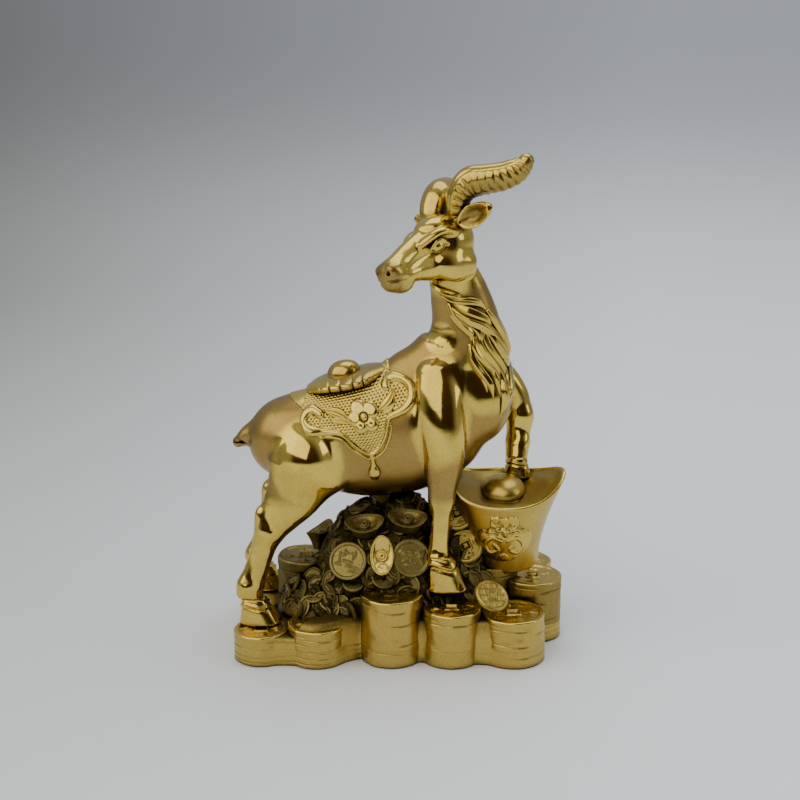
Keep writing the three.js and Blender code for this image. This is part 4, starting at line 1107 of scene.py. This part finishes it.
def build_seat():
    """A flat cushion along the back, its rim gathered into flutes, and a round knob on top."""
    def flutes(s, angle):
        rim = np.abs(np.cos(angle)) ** 3
        inner = smooth(0.18, 0.26, s) * (1 - smooth(0.74, 0.82, s))
        fold = np.abs(np.sin(math.pi * (s - 0.2) / 0.6 * 5))
        nick = 0.12 * rim * inner * np.exp(-(fold / 0.12) ** 2)
        return 1 + 0.07 * rim * inner * (fold ** 0.5 - 0.7) - nick

    rings = tube(SEAT, 150, 110, swell=flutes)
    points, faces = loft(rings)
    add_piece("saddle_seat_casting", points, faces, BUFFED, "satin_brass", ["saddle_seat"],
              satin=0.45 * smooth(80.5, 82.5, points[:, 2]))
    t = np.linspace(0, 1, 36)
    profile = np.stack([4.7 * np.cos(t * math.pi / 2) ** 0.75, 82.0 + 4.5 * np.sin(t * math.pi / 2)],
                       axis=1)
    foot = np.array([(5.2, 80.6), (5.3, 81.3), (5.2, 81.8), (4.85, 82.0)])
    profile = np.vstack([foot, profile[:-1]])
    a = np.arange(72) / 72 * 2 * math.pi
    rings = np.stack([-17 + 1.12 * profile[:, 0:1] * np.cos(a), profile[:, 0:1] * np.sin(a),
                      profile[:, 1:2] + 0.12 * profile[:, 0:1] * np.cos(a)], axis=-1)
    add_piece("saddle_knob_casting", *loft(rings), BUFFED, "satin_brass", ["saddle_knob"], satin=0.3)


# ---- Base: stacks, plinth, heap, coins and ingots ---------------------------------------------

# Coin stacks: [x, y, radius, top].
STACKS = {
    "coin_stack_right_hind": (-42.3, -19.2, 8.3, 7.4), "coin_stack_front_left": (-25.2, -20.2, 8.9, 9.6),
    "coin_stack_front_middle": (-2.6, -19.5, 9.3, 19), "coin_stack_right_fore": (15.6, -20.4, 8.8, 14.8),
    "coin_stack_front_right": (34.4, -19.5, 9.6, 12.8), "coin_stack_right_end": (41.6, -0.6, 9.3, 17.4),
    "coin_stack_right_rear": (40.5, 17.5, 8.9, 15.5), "coin_stack_left_middle": (-30, 4, 8.6, 22.5),
    "coin_stack_left_hind": (-42.3, 19.5, 8.4, 7.4), "coin_stack_rear_left": (-23.5, 20.4, 8.7, 13),
    "coin_stack_rear_middle": (-4.6, 19.8, 9.4, 17), "coin_stack_rear_right": (15.4, 20.3, 8.7, 14),
    "ingot_pedestal": (27, 3, 10.6, 21.6),
}
PLINTH_TOP = 4.0


def scored(z, angle, heights, seed):
    """Thin wavy grooves round a stack, each fading in and out along the way."""
    own = np.random.default_rng(seed)
    depth = 0
    for height in heights:
        a, b = own.uniform(0, 6.3, 2)
        line = height + 0.22 * np.sin(2 * angle + a) + 0.1 * np.sin(5 * angle + b)
        presence = smooth(-0.1, 0.6, np.sin(angle * own.integers(1, 4) + own.uniform(0, 6.3)))
        depth = depth + 0.32 * np.exp(-((z - line) / 0.14) ** 2) * presence
    return depth


def struck_coin(x, y, radius, seed=0, hole=1.0):
    """Relief of a holed coin seen from above: a raised rim, a raised frame round the square hole
    and four plain marks between them."""
    r = np.hypot(x, y)
    rim = 0.4 * np.exp(-(((r - radius + 0.55) / 0.5) ** 4))
    square = np.maximum(np.abs(x), np.abs(y))
    frame = 0.32 * np.exp(-(((square - hole * 1.3) / 0.28) ** 4))
    pit = -0.5 * (1 - smooth(hole * 0.8, hole * 1.05, square))
    marks = 0
    for k in range(4):
        c, s = math.cos(k * math.pi / 2), math.sin(k * math.pi / 2)
        u, v = x * c + y * s, y * c - x * s
        reach = (hole * 1.6 + radius - 0.9) / 2
        span = max(radius - 0.9 - hole * 1.6, 0.5)
        aside = 0.25 * span if (k + seed) % 2 else 0
        post = 0.26 * np.exp(-(((u - reach) / (0.16 * span)) ** 4))
        beam = 0.26 * np.exp(-(((u - reach) / (0.42 * span)) ** 4))
        marks = marks + post * np.exp(-((v / (0.42 * span)) ** 4))
        marks = marks + beam * np.exp(-(((v - aside) / (0.13 * span)) ** 4))
    return rim + frame + pit + marks


def build_stacks():
    """A stack is a lathe profile: a slightly lumpy wall scored by wavy grooves, a rounded rim, and
    a top that carries the relief of its uppermost coin."""
    columns = 120
    angle = (np.arange(columns) / columns * 2 * math.pi)[None, :]
    for number, (name, (x, y, radius, top)) in enumerate(STACKS.items()):
        wall = np.arange(PLINTH_TOP - 0.6, top - 0.55, 0.2)[:, None]
        place = np.stack([x + radius * np.cos(angle) + 0 * wall, y + radius * np.sin(angle) + 0 * wall,
                          wall + 0 * angle], axis=-1)
        lump = 0.32 * ripple(place, 9, 40 + number) + 0.14 * ripple(place, 4, 70 + number)
        # towards the foot the wall takes over the plinth's own lumps, so the two run together
        low = 1 - smooth(PLINTH_TOP, PLINTH_TOP + 3.5, wall)
        lump = lump * (1 - low) + (foot_lumps(place) + 0.04) * low
        grooves = [top - 1.7, top - 3.1, (top + PLINTH_TOP) / 2, PLINTH_TOP + 1.2]
        if name in ("coin_stack_right_hind", "coin_stack_front_left"):
            grooves = [top - 1.6, top - 2.8, top - 4]
        own = radius + lump - scored(wall, angle, grooves, number + 5)
        bend = np.linspace(0, math.pi / 2, 7)[1:, None]
        own_rim = own[-1] - 0.5 * (1 - np.cos(bend))
        rim_z = top - 0.5 + 0.5 * np.sin(bend) + 0 * angle
        flat = np.linspace(radius - 0.75, 0.35, 34)[:, None]
        fx, fy = flat * np.cos(angle), flat * np.sin(angle)
        grain = 0.12 * ripple(np.stack([fx, fy, 0 * fx], axis=-1), 3, number)
        relief = struck_coin(fx, fy, radius - 0.6, number, 1.5) - 0.28 + grain
        r = np.concatenate([own, own_rim, flat + 0 * angle])
        z = np.concatenate([wall + 0 * angle, rim_z, top - 0.1 + relief])
        rings = np.stack([x + r * np.cos(angle), y + r * np.sin(angle), z], axis=-1)
        points, faces = loft(rings)
        # the three stacks that stand under the goat and the large ingot carry painted shade on their walls
        # and rims, and the left middle one takes the shaded brass; every top is kept lighter
        shaded_stack = name in ("coin_stack_left_middle", "ingot_pedestal", "coin_stack_right_end")
        share = np.concatenate([np.full(wall.size, 0.4 if shaded_stack else 0.0),
                                np.full(6, 0.2 if shaded_stack else -0.1), np.full(flat.size, -0.25)])
        tarnish_and_shade = np.append(np.repeat(share, columns), [0, 0.6])
        satin = np.append(np.repeat(np.concatenate([np.full(wall.size, 0.85), np.full(6, 0.0),
                                                    np.full(flat.size, 0.7)]), columns), [1, 1])
        add_piece(f"{name}_casting", points, faces, TONED_AND_SHADED if name == "coin_stack_left_middle" else BRUSHED,
                  "satin_brass", [name], satin=satin, tarnish_and_shade=tarnish_and_shade)


def foot_lumps(place):
    """The slow lumps of the cast wall, shared by the foot and the stacks that rise from it."""
    return 0.28 * ripple(place, 10, 4) + 0.1 * ripple(place, 3, 9)


def build_plinth():
    """The foot all stacks share: its outline is the farthest edge of any stack's widened circle or
    of the middle slab in each direction, and its wall carries two long grooves."""
    columns = 540
    angle = np.arange(columns) / columns * 2 * math.pi
    way = np.stack([np.cos(angle), np.sin(angle)], axis=1)
    far = np.minimum(42 / np.maximum(np.abs(way[:, 0]), 1e-6), 20 / np.maximum(np.abs(way[:, 1]), 1e-6))
    for x, y, radius, _ in STACKS.values():
        middle = way @ np.array([x, y])
        rest = (radius + 0.02) ** 2 - (x * x + y * y - middle ** 2)
        far = np.where(rest > 0, np.maximum(far, middle + np.sqrt(np.maximum(rest, 0))), far)
    # the valleys between stacks are filled by a softer line, which also rises behind the slab
    width = columns // 18
    window = np.hanning(width + 2)[1:-1]
    soft = np.convolve(np.concatenate([far[-width:], far, far[:width]]), window / window.sum(),
                       "same")[width:-width]
    foot = np.maximum(far, soft - 0.5)
    low = np.concatenate([[-FOOT, -FOOT, -FOOT + 0.3], np.arange(-FOOT + 0.5, 3.7, 0.2)])[:, None]
    low_inset = np.concatenate([[3, 0.6, 0.1], np.zeros(len(low) - 3)])[:, None]
    rise = np.where(far * way[:, 0] < -31, 2.9, 7.8)
    high_share = np.array([0.0, 0.25, 0.5, 0.75, 0.93, 1, 1])[:, None]
    high_inset = np.array([0.55, 0.65, 0.8, 1.1, 1.7, 3.2, 8])[:, None]
    z = np.concatenate([low + 0 * far, 4.0 + high_share * rise])
    line = np.concatenate([foot - low_inset, soft - high_inset])
    place = np.stack([line * way[:, 0], line * way[:, 1], z], axis=-1)
    own = line + foot_lumps(place) - scored(z, angle[None, :], [-0.6, 1.2, 2.8], 21)
    rings = np.stack([own * way[:, 0], own * way[:, 1], z + 0 * own], axis=-1)
    points, faces = loft(rings)
    # the slab's top darkens towards its middle, between the stacks and under the heap: painted shade
    dark = np.append(np.repeat(np.concatenate([np.zeros(len(low)), [0, 0, 0.1, 0.3, 0.55, 0.7, 0.7]]),
                               columns), [0, 0.7])
    add_piece("plinth_casting", points, faces, BRUSHED, "satin_brass", ["plinth"], satin=0.85, tarnish_and_shade=dark)


# Mounds of the heap: [x, foot, half length, half depth, height].
MOUNDS = [(-24, 6, 15, 17.5, 15), (-10, 15, 16.5, 18.5, 25), (2, 15, 15, 18.5, 28), (14, 9, 11, 15.5, 34),
          (20, 12, 10, 14, 22)]


def heap_top(x, y):
    """Height of the heap's surface: the smoothly joined tops of its mounds."""
    total = np.full(x.shape, -8.0)
    for middle, foot, long, deep, height in MOUNDS:
        inner = 1 - ((x - middle) / long) ** 2 - (y / deep) ** 2
        own = np.where(inner > 0, foot + height * np.maximum(inner, 0) ** 0.75, foot + 16 * inner)
        h = np.maximum(3.0 - np.abs(total - own), 0) / 3.0
        total = np.maximum(total, own) + h ** 3 * 0.5
    return total


def euler(rx, ry, rz):
    """Rotation matrix Rx Ry Rz from degrees."""
    rx, ry, rz = (math.radians(k) for k in (rx, ry, rz))
    x = np.array([[1, 0, 0], [0, math.cos(rx), -math.sin(rx)], [0, math.sin(rx), math.cos(rx)]])
    y = np.array([[math.cos(ry), 0, math.sin(ry)], [0, 1, 0], [-math.sin(ry), 0, math.cos(ry)]])
    z = np.array([[math.cos(rz), -math.sin(rz), 0], [math.sin(rz), math.cos(rz), 0], [0, 0, 1]])
    return x @ y @ z


def coin_rings(radius, thick, columns, relief):
    """A coin as rings from the middle out over the face, round the edge and back underneath."""
    angle = (np.arange(columns) + 0.5) / columns * 2 * math.pi
    r = np.concatenate([np.linspace(0.04, 0.97, 40), [0.995]])[:, None] * radius
    x, y = r * np.cos(angle), r * np.sin(angle)
    face = thick / 2 + relief(x, y) - 0.35
    edge_z = thick / 2 * np.array([0.75, 0.3, -0.3, -0.75])[:, None] + 0 * angle
    edge = np.stack([radius * np.cos(angle) + 0 * edge_z, radius * np.sin(angle) + 0 * edge_z, edge_z],
                    axis=-1)
    upper = np.stack([x, y, face], axis=-1)
    lower = np.stack([x, y, -face], axis=-1)[::-2]
    return np.concatenate([upper, edge, lower])


def strokes(x, y, radius, seed):
    """Relief of a coin without a hole: a raised rim round short raised bars in two directions."""
    own = np.random.default_rng(seed)
    r = np.hypot(x, y)
    relief = 0.42 * np.exp(-(((r - radius + 0.5) / 0.45) ** 4))
    for _ in range(16):
        px, py = own.uniform(-0.55, 0.55, 2) * radius
        turn = own.choice([0, 0.2, math.pi / 2, math.pi / 2 + 0.25])
        u = (x - px) * math.cos(turn) + (y - py) * math.sin(turn)
        v = (y - py) * math.cos(turn) - (x - px) * math.sin(turn)
        relief = np.maximum(relief, 0.34 * np.exp(-((u / own.uniform(0.7, 1.5)) ** 4))
                            * np.exp(-((v / 0.27) ** 2)))
    return relief


COINS = {
    "coin_front_left": (-15.8, -14.8, 27.2, 60, -12, -20),
    "coin_front_middle": (3.4, -15.6, 28.6, 64, 10, 12),
    "coin_front_low": (-20, -12.5, 14.4, 40, 0, -25), "coin_beside_hoof": (27.6, -21.5, 18.6, 32, 22, 0),
    "coin_behind_foreleg": (20.2, -9, 30, 70, 0, 25), "coin_under_belly": (17.5, -7, 40, 74, 0, 20),
    "coin_rear_left": (-14, 15.5, 24, -56, 0, 16), "coin_rear_middle": (3, 16, 29, -60, 0, -8),
    "coin_rear_right": (15.6, 13.6, 24.5, -58, 0, -30),
}


def build_coins():
    """Nine loose coins that lean on the heap. The one beside the hoof is cross-hatched."""
    for number, (name, (x, y, z, *turns)) in enumerate(COINS.items()):
        radius = 5.8 if number < 2 else 5.4
        if name == "coin_beside_hoof":
            def relief(u, v):
                r = np.hypot(u, v)
                square = np.maximum(np.abs(u), np.abs(v))
                lines = np.maximum(np.exp(-(((u + 0.3 * v) / 2.3 + 0.5) % 1 - 0.5) ** 2 / 0.006),
                                   np.exp(-(((v - 0.3 * u) / 2.3 + 0.5) % 1 - 0.5) ** 2 / 0.006))
                frame = 0.4 * np.exp(-(((square - 1.3) / 0.3) ** 4))
                rim = 0.45 * np.exp(-(((r - 4.85) / 0.45) ** 4))
                return rim + frame + 0.3 * lines * (r < 4.4) * (square > 1.7)
        elif number < 3:
            def relief(u, v, n=number, r=radius):
                return strokes(u, v, r, n + 3)
        else:
            def relief(u, v, n=number):
                return struck_coin(u, v, 5.2, n, 1.1)
        points, faces = loft(coin_rings(radius, 1.5, 120, relief))
        points = points @ euler(*turns).T + np.array([x, y, z])
        # every loose coin is darkened a little, and the coins low in front, behind the foreleg and under the
        # belly more: painted shade; the first three take the shaded brass
        dark = 0.34 if name in ("coin_front_low", "coin_behind_foreleg", "coin_under_belly") else 0.22
        add_piece(f"{name}_casting", points, faces, TONED_AND_SHADED if number < 3 else BRUSHED, "aged_brass",
                  [name], satin=0.3, tarnish_and_shade=dark)


def heap_normal(x, y):
    """Unit normals of the heap's surface from its slope along both ways."""
    step = 0.3
    here = heap_top(x, y)
    steep_x = (heap_top(x + step, y) - here) / step
    steep_y = (heap_top(x, y + step) - here) / step
    return unit(np.stack([-steep_x, -steep_y, np.ones_like(here)], axis=-1))


def build_heap():
    """A height over a round grid: mounds, pushed out along their normals by a relief of
    overlapping coin faces with rims and beads. Small coins lie half sunk in it, leaning with the
    slope, more of them on its steep front and back."""
    rings_count, columns = ((170, 340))
    angle = (np.arange(columns) / columns * 2 * math.pi)[None, :]
    share = np.linspace(1, 0.02, rings_count)[:, None] ** 0.6
    x = -5 + 35 * share * np.cos(angle)
    y = 19.5 * share * np.sin(angle)
    surface = np.stack([x, y, heap_top(x, y)], axis=-1)
    normals = heap_normal(x, y)
    high = np.argwhere(surface[..., 2] > 7)
    relief = np.zeros_like(x)
    for k, pick in enumerate(DRAW.integers(0, len(high), 420)):
        offset = surface - surface[tuple(high[pick])]
        gap = np.linalg.norm(offset, axis=-1)
        size = 2.0 + 1.7 * ((k * 37) % 11) / 11
        disc = 0.5 * (gap < size) + 0.5 * np.exp(-((gap - size + 0.35) / 0.3) ** 2) + 0.45 * dome(gap, 0.8)
        relief = np.where(gap < size + 0.1, np.maximum(disc + 0.14 * (k % 4), 0.5 * relief), relief)
    surface = surface + normals * relief[..., None]
    surface[..., 2] = np.maximum(surface[..., 2], PLINTH_TOP - 0.2)
    skirt = surface[:1] * [1, 1, 0] + [0, 0, PLINTH_TOP - 0.4]
    points, faces = loft(np.concatenate([skirt, surface]))
    # the heap lies under the goat's belly: painted shade over the whole of it, varied by a slow random tone
    rough = 0.5 + 0.3 * (0.5 + 0.5 * ripple(points, 8, 8))
    add_piece("coin_heap_casting", points, faces, TONED_AND_SHADED, "aged_brass", ["coin_heap"], satin=0.6,
              tarnish_and_shade=rough)
    small = []
    for k in range(260):
        sx, sy = DRAW.uniform(-35, 25), DRAW.uniform(-17.5, 17.5)
        if k % 2:
            # walk in from the front or the back to a chosen height on the steep side
            line = np.linspace(19, 2, 80) * (-1 if k % 4 == 1 else 1)
            tall = heap_top(np.full(80, sx), line)
            sy = line[np.argmax(tall > DRAW.uniform(9, 27))] if tall.max() > 27 else sy
        here = heap_top(np.array([sx]), np.array([sy]))[0]
        if here < 9:
            continue
        up = unit(heap_normal(np.array([sx]), np.array([sy]))[0] + DRAW.normal(0, 0.24, 3))
        first = unit(np.cross(up, DRAW.normal(size=3)))
        axes = np.stack([first, np.cross(up, first), up])
        radius = DRAW.uniform(2.4, 4.0)
        a = np.arange(24) / 24 * 2 * math.pi
        r = radius * np.array([0.86, 1.0, 1.0, 0.86, 0.8, 0.3, 0.24])[:, None]
        h = np.array([-0.5, -0.3, 0.35, 0.5, 0.25, 0.25, -0.05])[:, None] + 0 * a
        local = np.stack([r * np.cos(a), r * np.sin(a), h], axis=-1)
        points, faces = loft(local @ axes + np.array([sx, sy, here]) + 0.45 * up)
        small.append((points, faces))
    points, faces = joined(small)
    # painted shade on the small coins too, as on the heap
    add_piece("heap_coins", points, faces, TONED_AND_SHADED, "aged_brass", [], satin=0.4, tarnish_and_shade=0.34, crease=40)


def boat_rings(length, width, height, tip_rise, dish, dome_size, columns, rows=34):
    """A boat-shaped ingot: ellipses widen from the foot to a rim whose two ends rise, a lip runs
    inside the rim, and the dish behind it holds a dome. dome_size is (radius, height, hole)."""
    a = (np.arange(columns) / columns * 2 * math.pi)[None, :]
    tips = np.abs(np.cos(a)) ** 3
    t = np.linspace(0, 1, rows)[:, None]
    hull_x = length / 2 * (0.62 + 0.38 * t * t) * np.cos(a)
    hull_y = width / 2 * (0.72 + 0.28 * t) * np.sin(a)
    hull_z = height * t + tip_rise * t * t * tips
    foot = np.stack([hull_x[:1] * 0.9, hull_y[:1] * 0.9, hull_z[:1]], axis=-1)
    round_in = np.linspace(0, math.pi, 9)[1:, None]
    lip = 0.028 * length
    bead = lip * (1 - np.cos(round_in)) / 2
    rim = np.stack([(length / 2 - bead) * np.cos(a), (width / 2 - bead) * np.sin(a),
                    height + tip_rise * tips + 0.5 * lip * np.sin(round_in)], axis=-1)
    s = np.linspace(0.02, 0.985, 44)[:, None]
    ex, ey = (length / 2 - lip) * (1 - s), (width / 2 - lip) * (1 - s)
    x, y = ex * np.cos(a), ey * np.sin(a)
    shelf = 1 - smooth(0, 0.16, s)
    bowl = dish * (0.18 * smooth(0, 0.05, s) + 0.82 * smooth(0.1, 0.62, s))
    z = height + tip_rise * tips * (1 - s) ** 1.5 * (0.9 + 0.1 * shelf) - bowl
    radius, rise, hole = dome_size
    if radius:
        r = np.hypot(x, y)
        z = np.where(r < radius, np.maximum(z, height - dish + rise * dome(r, radius)), z)
        z = z - 0.5 * rise * np.exp(-(r / max(hole, 0.01)) ** 2)
        z = z - 0.25 * rise * np.exp(-((r - radius * 0.62) / (0.1 * radius)) ** 2)
    inner = np.stack([x, y, z], axis=-1)
    return np.concatenate([foot, np.stack([hull_x, hull_y, hull_z], axis=-1), rim, inner])


NUGGETS = {
    "small_ingot_upright": (-5.4, -17.2, 29.2, 62, 0, 90),
    "small_ingot_belly_left": (-10.8, -10.1, 34.6, 34, 0, 6),
    "small_ingot_belly_right": (2.4, -10.6, 36.4, 34, 0, -6),
    "small_ingot_left": (-24.6, 6, 24.6, 0, -8, 60),
    "small_ingot_rear": (-5, 12.6, 34.6, -40, 0, 4),
}
INGOT_FOOT = np.array([31.8, 2.5, 21.9])
INGOT_TURN = euler(13, 0, 0)


def build_ingots():
    """The large ingot under the left fore hoof with its dome and side ornament, and small ones."""
    for name, (x, y, z, *turns) in NUGGETS.items():
        rings = boat_rings(12, 7, 5, 1.6, 0.9, (1.9, 1.2, 0.35), 96)
        points, faces = loft(rings)
        points = points @ euler(*turns).T + np.array([x, y, z])
        # all but the upright ingot in front lie under the goat, and take the shaded brass and painted shade
        plain = name == "small_ingot_upright"
        add_piece(f"{name}_casting", points, faces, BRUSHED if plain else TONED_AND_SHADED, "satin_brass", [name],
                  satin=0.15, tarnish_and_shade=0.0 if plain else 0.4)
    rings = boat_rings(38, 25, 25.2, 6, 1.1, (0, 0, 0), 200, 60)
    rings = rings + 0.10 * ripple(rings, 12, 31)[..., None]
    points, faces = loft(rings)
    within = np.concatenate([np.zeros(61 * 200), np.zeros(8 * 200), np.full(44 * 200, 0.3), [0, 0.3]])
    satin = np.concatenate([np.full(61 * 200, 0.7), np.zeros(8 * 200), np.full(44 * 200, 0.6), [1, 0.6]])
    add_piece("large_ingot_hull_casting", points @ INGOT_TURN.T + INGOT_FOOT, faces, BRUSHED,
              "satin_brass", ["large_ingot_hull"],
              satin=satin, tarnish_and_shade=within)
    a = (np.arange(96) / 96 * 2 * math.pi)[None, :]
    t = np.linspace(0, math.pi / 2, 36)[:-1, None]
    skirt = np.array([[7.4, 23.4], [7.5, 24.0], [7.35, 24.35], [7.1, 24.5]])
    profile = np.vstack([skirt, np.hstack([6.9 * np.cos(t) ** 0.85, 24.4 + 4.9 * np.sin(t)])])
    rings = np.stack([profile[:, :1] * np.cos(a), profile[:, :1] * np.sin(a), profile[:, 1:] + 0 * a],
                     axis=-1)
    rings = rings + 0.08 * ripple(rings, 7, 12)[..., None]
    points, faces = loft(rings)
    add_piece("large_ingot_dome_casting", points @ INGOT_TURN.T + INGOT_FOOT, faces, BRUSHED,
              "satin_brass", ["large_ingot_dome"],
              satin=0.5, tarnish_and_shade=0.12)
    # side ornament: a tied pouch in relief, laid on the hull's wall
    columns, rows = 200, 60
    a = (np.arange(columns) / columns * 2 * math.pi)[None, :]
    s = np.linspace(1, 0.02, rows)[:, None]
    degrees = np.abs((np.degrees(a) + 90) % 360 - 180)          # 0 is straight up, 180 straight down
    edge = np.interp(degrees, [0, 14, 30, 44, 58, 76, 95, 125, 155, 180],
                     [6.4, 7.0, 7.3, 4.9, 5.2, 6.8, 7.4, 7.5, 6.9, 6.6])
    u, v = s * edge * np.cos(a), s * edge * np.sin(a)
    height = 14.0 + 1.32 * v
    tt = height / 25.2
    outward = 1.22 * u / (19 * (0.62 + 0.38 * tt * tt))
    wall = 25 / 2 * (0.72 + 0.28 * tt) * np.sqrt(np.clip(1 - outward ** 2, 0.05, 1))
    body = 1.1 * dome(np.hypot(u / 7.0, (v + 2.0) / 5.2), 1.0) * (v < 2.6)
    gathers = 0.22 * np.cos(3.2 * u + 0.6 * np.sin(1.7 * v)) * smooth(1.2, 2.4, v)
    cord = 0.5 * dome(v - 2.7 - 0.25 * np.cos(0.8 * u), 0.6) + 0.4 * dome(np.hypot(u - 0.4, v - 2.5), 1.3)
    relief = 0.55 + body + gathers + cord
    for sway in (-1, 1):
        # a ribbon end and a curl on the pouch on either side
        ribbon, _ = to_curve(u, v, np.array([(0.4, 2.6), (sway * 2.4, 3.6), (sway * 4.8, 4.4),
                                             (sway * 6.2, 3.4)]), 80)
        curl, _ = to_curve(u, v, np.array([(sway * 0.8, 0.2), (sway * 3.2, 0.8), (sway * 4.9, -1.4),
                                           (sway * 3.6, -3.6), (sway * 1.6, -2.6), (sway * 2.4, -1.2)]), 80)
        relief = relief + 0.45 * dome(ribbon, 0.65) + 0.4 * dome(curl, 0.55)
    relief = relief + 0.35 * dome(np.hypot(u, v + 4.8), 1.2) - 0.8 * smooth(0.93, 1, s)
    front = np.stack([1.22 * u, -(wall + relief), height], axis=-1)
    back = np.stack([1.2 * u[0], -(wall[0] - 1.2), height[0]], axis=-1)[None]
    points, faces = loft(np.concatenate([back, front]))
    add_piece("large_ingot_emblem_casting", points @ INGOT_TURN.T + INGOT_FOOT, faces, BRUSHED,
              "aged_brass", ["large_ingot_emblem"],
              satin=0.2, tarnish_and_shade=0.05)


# ---- Stage, light and camera ------------------------------------------------------------------

def build_stage():
    """A wide pale table with painted shade that deepens towards the back on the left, in a fan that
    opens from 0.45 m in front of the goat; a dark room on the -Y side with a wide soft window above
    it; softer light from overhead and from the right."""
    paper = bpy.data.materials.new("matte_paper")
    paper.use_nodes = True
    tree = paper.node_tree
    shader = tree.nodes["Principled BSDF"]
    shader.inputs["Roughness"].default_value = 0.75
    axes = add_node(tree, "ShaderNodeSeparateXYZ",
                    links={"Vector": add_node(tree, "ShaderNodeTexCoord").outputs["Object"]})
    back = add_node(tree, "ShaderNodeMapRange",
                    {"From Min": -0.45, "From Max": 0.6, "interpolation_type": "SMOOTHSTEP"},
                    {"Value": axes.outputs["Y"]})
    depth = add_node(tree, "ShaderNodeMath", {"operation": "ADD", 1: 0.45}, {0: axes.outputs["Y"]})
    deep = add_node(tree, "ShaderNodeMath", {"operation": "MAXIMUM", 1: 0.2}, {0: depth.outputs["Value"]})
    slant = add_node(tree, "ShaderNodeMath", {"operation": "DIVIDE"},
                     {0: axes.outputs["X"], 1: deep.outputs["Value"]})
    left = add_node(tree, "ShaderNodeMapRange", {"From Min": 0.16, "From Max": -0.28},
                    {"Value": slant.outputs["Value"]})
    both = add_node(tree, "ShaderNodeMath", {"operation": "MULTIPLY"},
                    {0: back.outputs["Result"], 1: left.outputs["Result"]})
    # painted shade: the paper's white turns to grey towards the back on the left
    tint = add_node(tree, "ShaderNodeMix", {"data_type": "RGBA", 6: linear("F6FAFF"), 7: linear("999A98")},
                    {0: both.outputs["Value"]})
    tree.links.new(tint.outputs[2], shader.inputs["Base Color"])
    mesh = bpy.data.meshes.new("table_top")
    half = 60.0
    mesh.from_pydata([(-half, -half, 0), (half, -half, 0), (half, half, 0), (-half, half, 0)], [],
                     [(0, 1, 2, 3)])
    mesh.materials.append(paper)
    table = bpy.data.objects.new("table_top", mesh)
    bpy.context.scene.collection.objects.link(table)

    world = bpy.data.worlds.new("studio")
    bpy.context.scene.world = world
    world.use_nodes = True
    tree = world.node_tree
    way = add_node(tree, "ShaderNodeSeparateXYZ",
                   links={"Vector": add_node(tree, "ShaderNodeTexCoord").outputs["Generated"]})
    height = add_node(tree, "ShaderNodeMapRange", {"From Min": 0.0, "From Max": 0.7},
                      {"Value": way.outputs["Z"]})
    sky = add_node(tree, "ShaderNodeMix", {"data_type": "RGBA", 6: linear("A6A9AE"), 7: linear("C9CCD2")},
                   {0: height.outputs["Result"]})
    behind = add_node(tree, "ShaderNodeMapRange",
                      {"From Min": -0.25, "From Max": -0.7, "interpolation_type": "SMOOTHSTEP"},
                      {"Value": way.outputs["Y"]})
    room = add_node(tree, "ShaderNodeMix", {"data_type": "RGBA", 6: linear("2E2018"), 7: linear("5E4A38")},
                    {0: height.outputs["Result"]})
    all_round = add_node(tree, "ShaderNodeMix", {"data_type": "RGBA"},
                         {0: behind.outputs["Result"], 6: sky.outputs[2], 7: room.outputs[2]})
    shade = tree.nodes["Background"]
    tree.links.new(all_round.outputs[2], shade.inputs["Color"])
    shade.inputs["Strength"].default_value = 0.85

    def softbox(name, place, aim, size, power, tint):
        light = bpy.data.lights.new(name, "AREA")
        light.shape = "RECTANGLE"
        light.size, light.size_y = size
        light.energy = power
        light.color = linear(tint)[:3]
        lamp = bpy.data.objects.new(name, light)
        lamp.location = place
        way = np.array(aim, float) - np.array(place, float)
        lamp.rotation_euler = (math.acos(-way[2] / np.linalg.norm(way)), 0,
                               math.atan2(way[1], way[0]) - math.pi / 2)
        bpy.context.scene.collection.objects.link(lamp)

    softbox("window", (-0.7, -0.8, 0.95), (0, 0, 0.07), (2.7, 1.3), 18.5, "FFFBEA")
    softbox("overhead", (0.15, 0.3, 1.1), (0, 0, 0.05), (1.1, 0.8), 5.0, "F4F8FF")
    softbox("fill", (1.0, -0.2, 0.5), (0, 0, 0.07), (0.3, 0.5), 0.8, "FFFFFF")


def build_camera():
    camera = bpy.data.cameras.new("camera")
    camera.sensor_width = 36.0
    camera.lens = 68.85
    camera.clip_start = 0.01
    camera.clip_end = 200
    eye = bpy.data.objects.new("camera", camera)
    eye.location = (0.0, -0.4435, 0.1963)
    eye.rotation_euler = (math.radians(90 - 15.3), 0, 0)
    bpy.context.scene.collection.objects.link(eye)
    bpy.context.scene.camera = eye


build_camera()
build_stage()
build_plinth()
build_stacks()
build_heap()
build_coins()
build_ingots()
build_hooves()
build_flesh()
build_horns()
build_ears()
build_hair()
build_blanket()
build_blossoms()
build_pendants()
build_seat()
